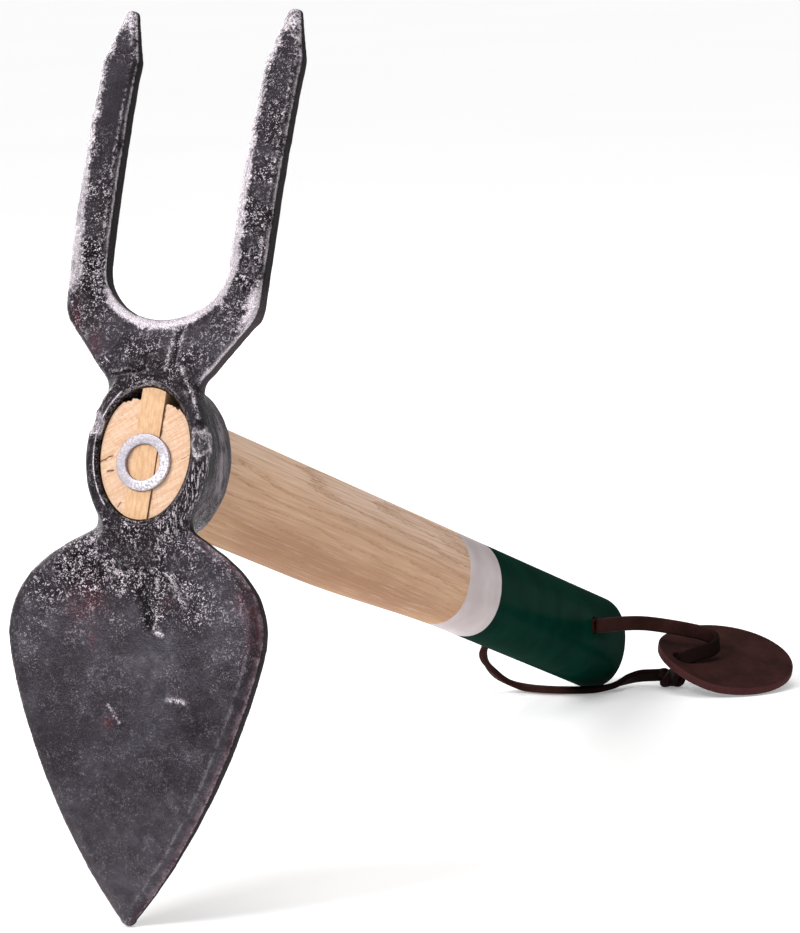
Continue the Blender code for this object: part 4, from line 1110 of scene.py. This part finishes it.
# Wooden wedge: a slip of hardwood driven into the kerf, trimmed with the handle's end. Its top and
# bottom touch the round ends of the eye, and the ring wedge cuts through its middle.
def wedge_ends(across, y, side):
    """How far along its own line a strip of the wedge runs before it meets the eye, by halving."""
    width, height = eye_opening(y)
    low, high = 0 * across, 0 * across + 2 * height
    for _ in range(30):
        middle = (low + high) / 2
        at = leaned(across, y, side * middle)
        inside = (at[:, 0] / width) ** 2 + (at[:, 2] / height) ** 2 < 1
        low, high = np.where(inside, middle, low), np.where(inside, high, middle)
    return leaned(across, y, side * low)


wedge_rows = []
for y in np.linspace(HANDLE_RECESS - 0.0004, HANDLE_RECESS + WEDGE_LENGTH, 8):
    across = np.linspace(-1, 1, 13) * wedge_half(y)
    wedge_rows.append(np.concatenate([wedge_ends(across, y, -1), wedge_ends(across[::-1], y, 1)]))
wedge = piece("wedge_slip", [np.array(wedge_rows)])
groove(wedge)
settled(wedge, 35)

slip = Finish("wedge_wood")
at = slip.in_tool()
lines = slip.drawn_out(at, (1.5, 0.2, 0.35), 4, 0.65)
specks = slip.noise(at, 3.0, 2, 0.6)
slip_wood = slip.mix(lines.step(0.3, 0.7), tone(233, 193, 154), tone(213, 165, 121))
slip_wood = slip.coats(slip_wood, (specks.step(0.58, 0.75) * 0.4, (186, 130, 82)))
slip.cover(Base_Color=slip_wood, Roughness=0.68, Normal=slip.bump(lines * 0.6 + specks * 0.5, 0.5, 0.0003))
fitted(wedge, slip, "wooden_wedge")


# Ring wedge: a short conical steel tube, driven into handle and wedge so that it spreads them in
# every direction. Only its matt grey front face shows, with worn rims.
RING_EDGE = 0.00022


def ring_profile():
    """Radii and depths of the ring's closed section, its front corners rounded."""
    turn = np.linspace(0, math.pi / 2, 6)
    late, soon = RING_EDGE * (1 - np.cos(turn)), RING_EDGE * (1 - np.sin(turn))
    radii = [RING_INNER[0] / 2 + late, RING_OUTER[0] / 2 - soon, (RING_OUTER[1] / 2, RING_INNER[1] / 2)]
    depths = [soon, late, (RING_LENGTH, RING_LENGTH)]
    return np.concatenate(radii), RING_SET_BACK + np.concatenate(depths)


ring = piece("ring_tube", [spun(*ring_profile(), 128)], rows_close=True)
settled(ring, 35)

matt = Finish("ring_steel")
at = matt.in_tool()
x, s, z = matt.parts(at)
speckle = matt.noise(at, 1.8, 3, 0.65)
shade = matt.noise(at, 0.16, 2, 0.5)
metal = matt.coats(
    matt.mix(speckle.step(0.35, 0.65), tone(150, 144, 153), tone(190, 185, 192)),
    (shade.step(0.4, 0.62) * 0.5, (166, 158, 166)),
    ((x - z).step(2.0, 11.0) * speckle.step(0.42, 0.55) * 0.75, (232, 228, 234)))
matt.cover(Base_Color=metal, Metallic=0.55, Roughness=0.4 + 0.12 * speckle,
           Normal=matt.bump(speckle, 0.4, 0.0002))
fitted(ring, matt, "ring_wedge")


# Leather lace: one flat strap, cut from a hide. It passes through the cross bore, runs free on the
# right over the tag and into its hole, and on the left down to the floor and round to the knot.
# Routes are from the butt's place on the floor, tilts in degrees.
BUTT_PLACE = (0.0, 0.17209, 0.0)
LACE_WIDTH = 0.0046
LACE_THICKNESS = 0.0020
UPPER_ROUTE = (
    (0.0160, -0.0105, 0.0232), (0.0198, 0.0000, 0.0216), (0.0254, 0.0052, 0.0200), (0.0317, 0.0084, 0.0184),
    (0.0362, 0.0104, 0.0170), (0.0391, 0.0100, 0.0158), (0.0408, 0.0078, 0.0143), (0.0396, 0.0050, 0.0130),
    (0.0358, 0.0010, 0.0120), (0.0325, -0.0010, 0.0104), (0.0306, -0.0004, 0.0080), (0.0290, 0.0014, 0.0058),
    (0.0277, 0.0030, 0.0044),
)
UPPER_TILTS = (17.5, 12, 0, 0, 0, 0, 0, 0, 2, 8, 15, 20, 15, 10, 8)
LOWER_ROUTE = (
    (-0.0202, -0.0278, 0.0218), (-0.0250, -0.0283, 0.0172), (-0.0264, -0.0240, 0.0119),
    (-0.0261, -0.0197, 0.0085), (-0.0248, -0.0160, 0.0053), (-0.0222, -0.0132, 0.0030),
    (-0.0185, -0.0117, 0.0016), (-0.0110, -0.0134, 0.0014), (-0.0023, -0.0131, 0.0014),
    (0.0050, -0.0103, 0.0014), (0.0095, -0.0055, 0.0018), (0.0115, 0.0020, 0.0026),
    (0.0150, 0.0060, 0.0033), (0.0206, 0.0068, 0.0037),
)
LOWER_TILTS = (162.5, 150, 100, 44, -29, -64, -85, -92, -92, -90, -90, -90, -106, -130, -140, -140)
# The last part of each run, into the tag's hole and down to the knot, is painted dark as shade from these
# shares of its length.
SHADE_PAINTED_FROM = (0.56, 0.68)


def smooth_route(points, spacing):
    """Evenly spaced points on a smooth curve through a route, with their place on it and its length.

    Between two points it is the cubic of each four neighbours whose pace follows the square root of
    their distances, so that a short step beside a long one makes no hook.
    """
    route = np.array(points, float)
    ends = np.concatenate([[2 * route[0] - route[1]], route, [2 * route[-1] - route[-2]]])
    a, b, c, d = ends[:-3, None], ends[1:-2, None], ends[2:-1, None], ends[3:, None]
    roots = np.linalg.norm(np.diff(ends, axis=0), axis=1) ** 0.5
    pace = np.concatenate([[0], np.cumsum(roots)])[:, None, None]
    ta, tb, tc, td = pace[:-3], pace[1:-2], pace[2:-1], pace[3:]
    t = np.linspace(0, 1, 24, endpoint=False)[None, :, None]
    at_time = between((tb, tc), t)

    def across(from_time, to_time, from_point, to_point):
        """Points on the line through two points, each taken at its own time."""
        return from_point + (to_point - from_point) * (at_time - from_time) / (to_time - from_time)

    first = across(ta, tc, across(ta, tb, a, b), across(tb, tc, b, c))
    second = across(tb, td, across(tb, tc, b, c), across(tc, td, c, d))
    dense = np.concatenate([across(tb, tc, first, second).reshape(-1, 3), route[-1:]])
    at = np.append(np.arange(len(route) - 1)[:, None] + t[..., 0], len(route) - 1)
    run = run_along(dense)
    steps = np.linspace(0, run[-1], max(3, round(run[-1] / spacing) + 1))
    return read_off(dense, run, steps), np.interp(steps, run, at), run[-1]


def carried(line, wide, thin, half, steps, power):
    """A superellipse carried along a line, its wide and its thin way given for each point."""
    around = oval(half, steps, power)
    return line[:, None] + wide[:, None] * around[None, :, 0:1] + thin[:, None] * around[None, :, 2:3]


def strap_grid(points, tilts):
    """A flat strap: a rounded oblong carried along points, its width upright and turned by the tilts."""
    along = unit(np.gradient(points, axis=0))
    up = unit(np.array((0, 0, 1.0)) - along * along[:, 2:3])
    turn = np.radians(tilts)[:, None]
    wide = up * np.cos(turn) + np.cross(along, up) * np.sin(turn)
    return carried(points, wide, np.cross(along, wide), (LACE_WIDTH / 2, LACE_THICKNESS / 2), 28, 5.0)


hide = Finish("leather")
at = hide.place(stretch=MILLIMETRES)
pebble = hide.node("ShaderNodeTexVoronoi", {"feature": "DISTANCE_TO_EDGE"}, {"Vector": at, "Scale": 1.7})
blotch = hide.noise(at, 0.12, 4, 0.6)
skin = hide.noise(at, 2.6, 3, 0.6)
# Leather colour, darkened as painted shade where the lace runs into the tag's hole and at the knot.
tint = hide.coats(
    hide.mix(blotch.step(0.3, 0.7), tone(36, 20, 19), tone(54, 31, 28)),
    (skin.step(0.35, 0.7) * 0.30, (70, 44, 40)),
    (hide.attribute("shade_painted") * 0.85, (17, 9, 9)),
    (hide.attribute("rim") * (0.2 + 0.5 * skin), (92, 54, 56)))
hide.cover(Base_Color=tint, Roughness=0.55 + 0.15 * skin, Specular_IOR_Level=0.02,
           Normal=hide.bump(pebble.step(0.0, 0.14) * 0.5 + skin * 0.5, 0.4, 0.0002))


def lace_run(name, node, side, route, tilts):
    """A free run of the lace from the bore's mouth on one side, with its start, length and line."""
    share = (BORE_AT - GRIP_START) / (HANDLE_LENGTH - GRIP_START)
    mouth = between((GRIP[0], GRIP_END[0]), share) / 2 + CLEARANCE
    start = turned_down((side * mouth, BORE_AT, BORE_RISE))
    rest = np.array(BUTT_PLACE) + np.array(route)
    lead = start + 0.6 * LACE_THICKNESS * (np.array((side, 0, 0)) + unit(rest[0] - start))
    points, at, length = smooth_route([start, lead, *rest], 0.0008)
    into_knot = points[-1] + (points[-1] - points[-3]) * np.array([[1.0], [2.0]])
    points = np.concatenate([points, into_knot])
    turns = np.append(np.interp(at, np.arange(len(tilts)), tilts), [tilts[-1], tilts[-1]])
    grid = strap_grid(points, turns)
    made = piece(name, [grid])
    # Painted shade towards the run's far end.
    keep_value(made, "shade_painted", np.repeat(eased(np.linspace(0, 1, len(grid)), *SHADE_PAINTED_FROM), grid.shape[1]))
    fitted(made, hide, node)
    return made, start, length, points


upper, upper_exit, upper_length, upper_path = lace_run(
    "lace_over_tag", "lace_upper", 1, UPPER_ROUTE, UPPER_TILTS)
lower, lower_exit, lower_length, lower_path = lace_run(
    "lace_under_handle", "lace_lower", -1, LOWER_ROUTE, LOWER_TILTS)
half_mouth = abs(upper_exit[0]) - CLEARANCE
held_line = [(x, BORE_AT, BORE_RISE) for x in np.linspace(-half_mouth, half_mouth, 12)]
held_grid = strap_grid(turned_down(held_line), np.full(12, math.degrees(DIP)))
held = piece("lace_through_bore", [held_grid])
fitted(held, hide, "lace_in_bore")


# Knot: the two ends of the lace in one overhand knot, pulled small and flat, under the tag's rim. It is of
# the same dark leather, half darkened as painted shade.
KNOT_SIZE = (0.0085, 0.0076, 0.0060)
KNOT_PLACE = (0.0253, 0.0068, 0.0031)
KNOT_STRAND = (0.0019, 0.0015)


def knot_grid():
    """A strand along a three-lobed knot, pressed into its box.

    Its line is (sin t + 2 sin 2t, cos t - 2 cos 2t, -sin 3t).
    """
    t = full_turn(180)
    line = np.stack([np.sin(t) + 2 * np.sin(2 * t), np.cos(t) - 2 * np.cos(2 * t), -np.sin(3 * t)], -1)
    line = line / np.abs(line).max(0) * (np.array(KNOT_SIZE) / 2 - KNOT_STRAND[1])
    along = unit(np.roll(line, -1, 0) - np.roll(line, 1, 0))
    side = unit(np.cross(along, np.array((0, 0, 1.0))))
    grid = carried(line, side, np.cross(side, along), KNOT_STRAND, 16, 2.4)
    return grid + np.array(BUTT_PLACE) + np.array(KNOT_PLACE)


knot = piece("lace_end_knot", [knot_grid()], rows_close=True)
keep_value(knot, "shade_painted", np.full(len(knot.data.vertices), 0.5))
fitted(knot, hide, "lace_knot")


# Leather tag: a thick round disc, punched near its rim for the lace, its rim beside the hole curled up by the
# pull of the strap.
TAG_RADIUS = 0.0219
TAG_THICKNESS = 0.0026
TAG_SOFTNESS = 0.24
TAG_HOLE_RADIUS = 0.0034
TAG_HOLE_OUT = 0.0150
TAG_CURL = 0.0021
TAG_CURL_REACH = 0.012
TAG_CENTRE = (0.0424, 0.0111, 0.0088)
TAG_TILT = math.radians(19.6)
TAG_LEAN_TO = math.radians(-42.8)
TAG_HOLE_TO = math.radians(-137)


def tag_grid():
    """The tag's section carried round, each of its points a share of the way from hole to rim."""
    turn = full_turn(160)[:, None]
    c, s = np.cos(turn), np.sin(turn)
    half, soft = TAG_THICKNESS / 2, TAG_THICKNESS * TAG_SOFTNESS
    corner = np.linspace(0, math.pi / 2, 5)
    run = np.linspace(0.05, 0.96, 22)[1:-1]
    share = np.concatenate([0.05 * (1 - np.cos(corner)), run, 0.96 + 0.04 * np.sin(corner)])
    height = half - soft + soft * np.concatenate([np.sin(corner), 0 * run + 1, np.cos(corner)])
    share, height = np.append(share, share[::-1]), np.append(height, -height[::-1])
    u = between((TAG_HOLE_RADIUS * c + TAG_HOLE_OUT, TAG_RADIUS * c), share)
    v = between((TAG_HOLE_RADIUS * s, TAG_RADIUS * s), share)
    curl = TAG_CURL * np.maximum((u - (TAG_RADIUS - TAG_CURL_REACH)) / TAG_CURL_REACH, 0) ** 1.6
    return np.stack([u, v, height + curl], -1)


tag = piece("round_tag", [tag_grid()], rows_close=True)
out = np.hypot(*points_of(tag.data)[:, :2].T)
keep_value(tag, "rim", eased(out, TAG_RADIUS - 0.0007, TAG_RADIUS - 0.0001))
axis = Vector((-math.sin(TAG_LEAN_TO), math.cos(TAG_LEAN_TO), 0))
tag_turn = Matrix.Rotation(TAG_TILT, 4, axis) @ Matrix.Rotation(TAG_HOLE_TO, 4, "Z")
tag.data.transform(Matrix.Translation(Vector(BUTT_PLACE) + Vector(TAG_CENTRE)) @ tag_turn)
tag.data.set_sharp_from_angle(angle=math.radians(50))
fitted(tag, hide, "leather_tag")


# Floor and light: a pale floor that runs on past the view, a soft lamp behind on the left, a weaker
# one above, a broad sun from the upper left in front, and an even pale sky.
floor_mesh = bpy.data.meshes.new("floor")
floor_mesh.from_pydata([(-20, -20, 0), (20, -20, 0), (20, 20, 0), (-20, 20, 0)], [], [(0, 1, 2, 3)])
floor = stood("floor", floor_mesh)
sheet = Finish("floor")
mottled = sheet.mix(sheet.noise(sheet.place(), 3.0), (0.86, 0.86, 0.86), (0.90, 0.90, 0.90))
sheet.cover(Base_Color=mottled, Roughness=0.85, Emission_Color=(1.0, 1.0, 1.0), Emission_Strength=0.27)
floor_mesh.materials.append(sheet.material)

sky = bpy.data.worlds.new("sky")
sky.use_nodes = True
sky_light = sky.node_tree.nodes["Background"].inputs
sky_light["Color"].default_value = (1.0, 1.0, 1.0, 1.0)
sky_light["Strength"].default_value = 0.42
bpy.context.scene.world = sky


def lamp(name, kind, power, way):
    """A lamp that shines along a way."""
    data = bpy.data.lights.new(name, kind)
    data.energy = power
    made = stood(name, data)
    made.rotation_euler = Vector(way).to_track_quat("-Z", "Y").to_euler()
    return made


for name, place, aim, size, power in (
    ("back_lamp", (-1.3, 0.9, 0.55), (0, 0, 0.12), 0.9, 14),
    ("top_lamp", (0.1, -0.2, 1.6), (0, 0, 0.1), 0.8, 8),
):
    soft = lamp(name, "AREA", power, Vector(aim) - Vector(place))
    soft.location = place
    soft.data.shape = "SQUARE"
    soft.data.size = size
lamp("key_lamp", "SUN", 1.9, (0.55, 0.85, -0.85)).data.angle = math.radians(22)
bpy.context.scene.view_settings.view_transform = "Standard"
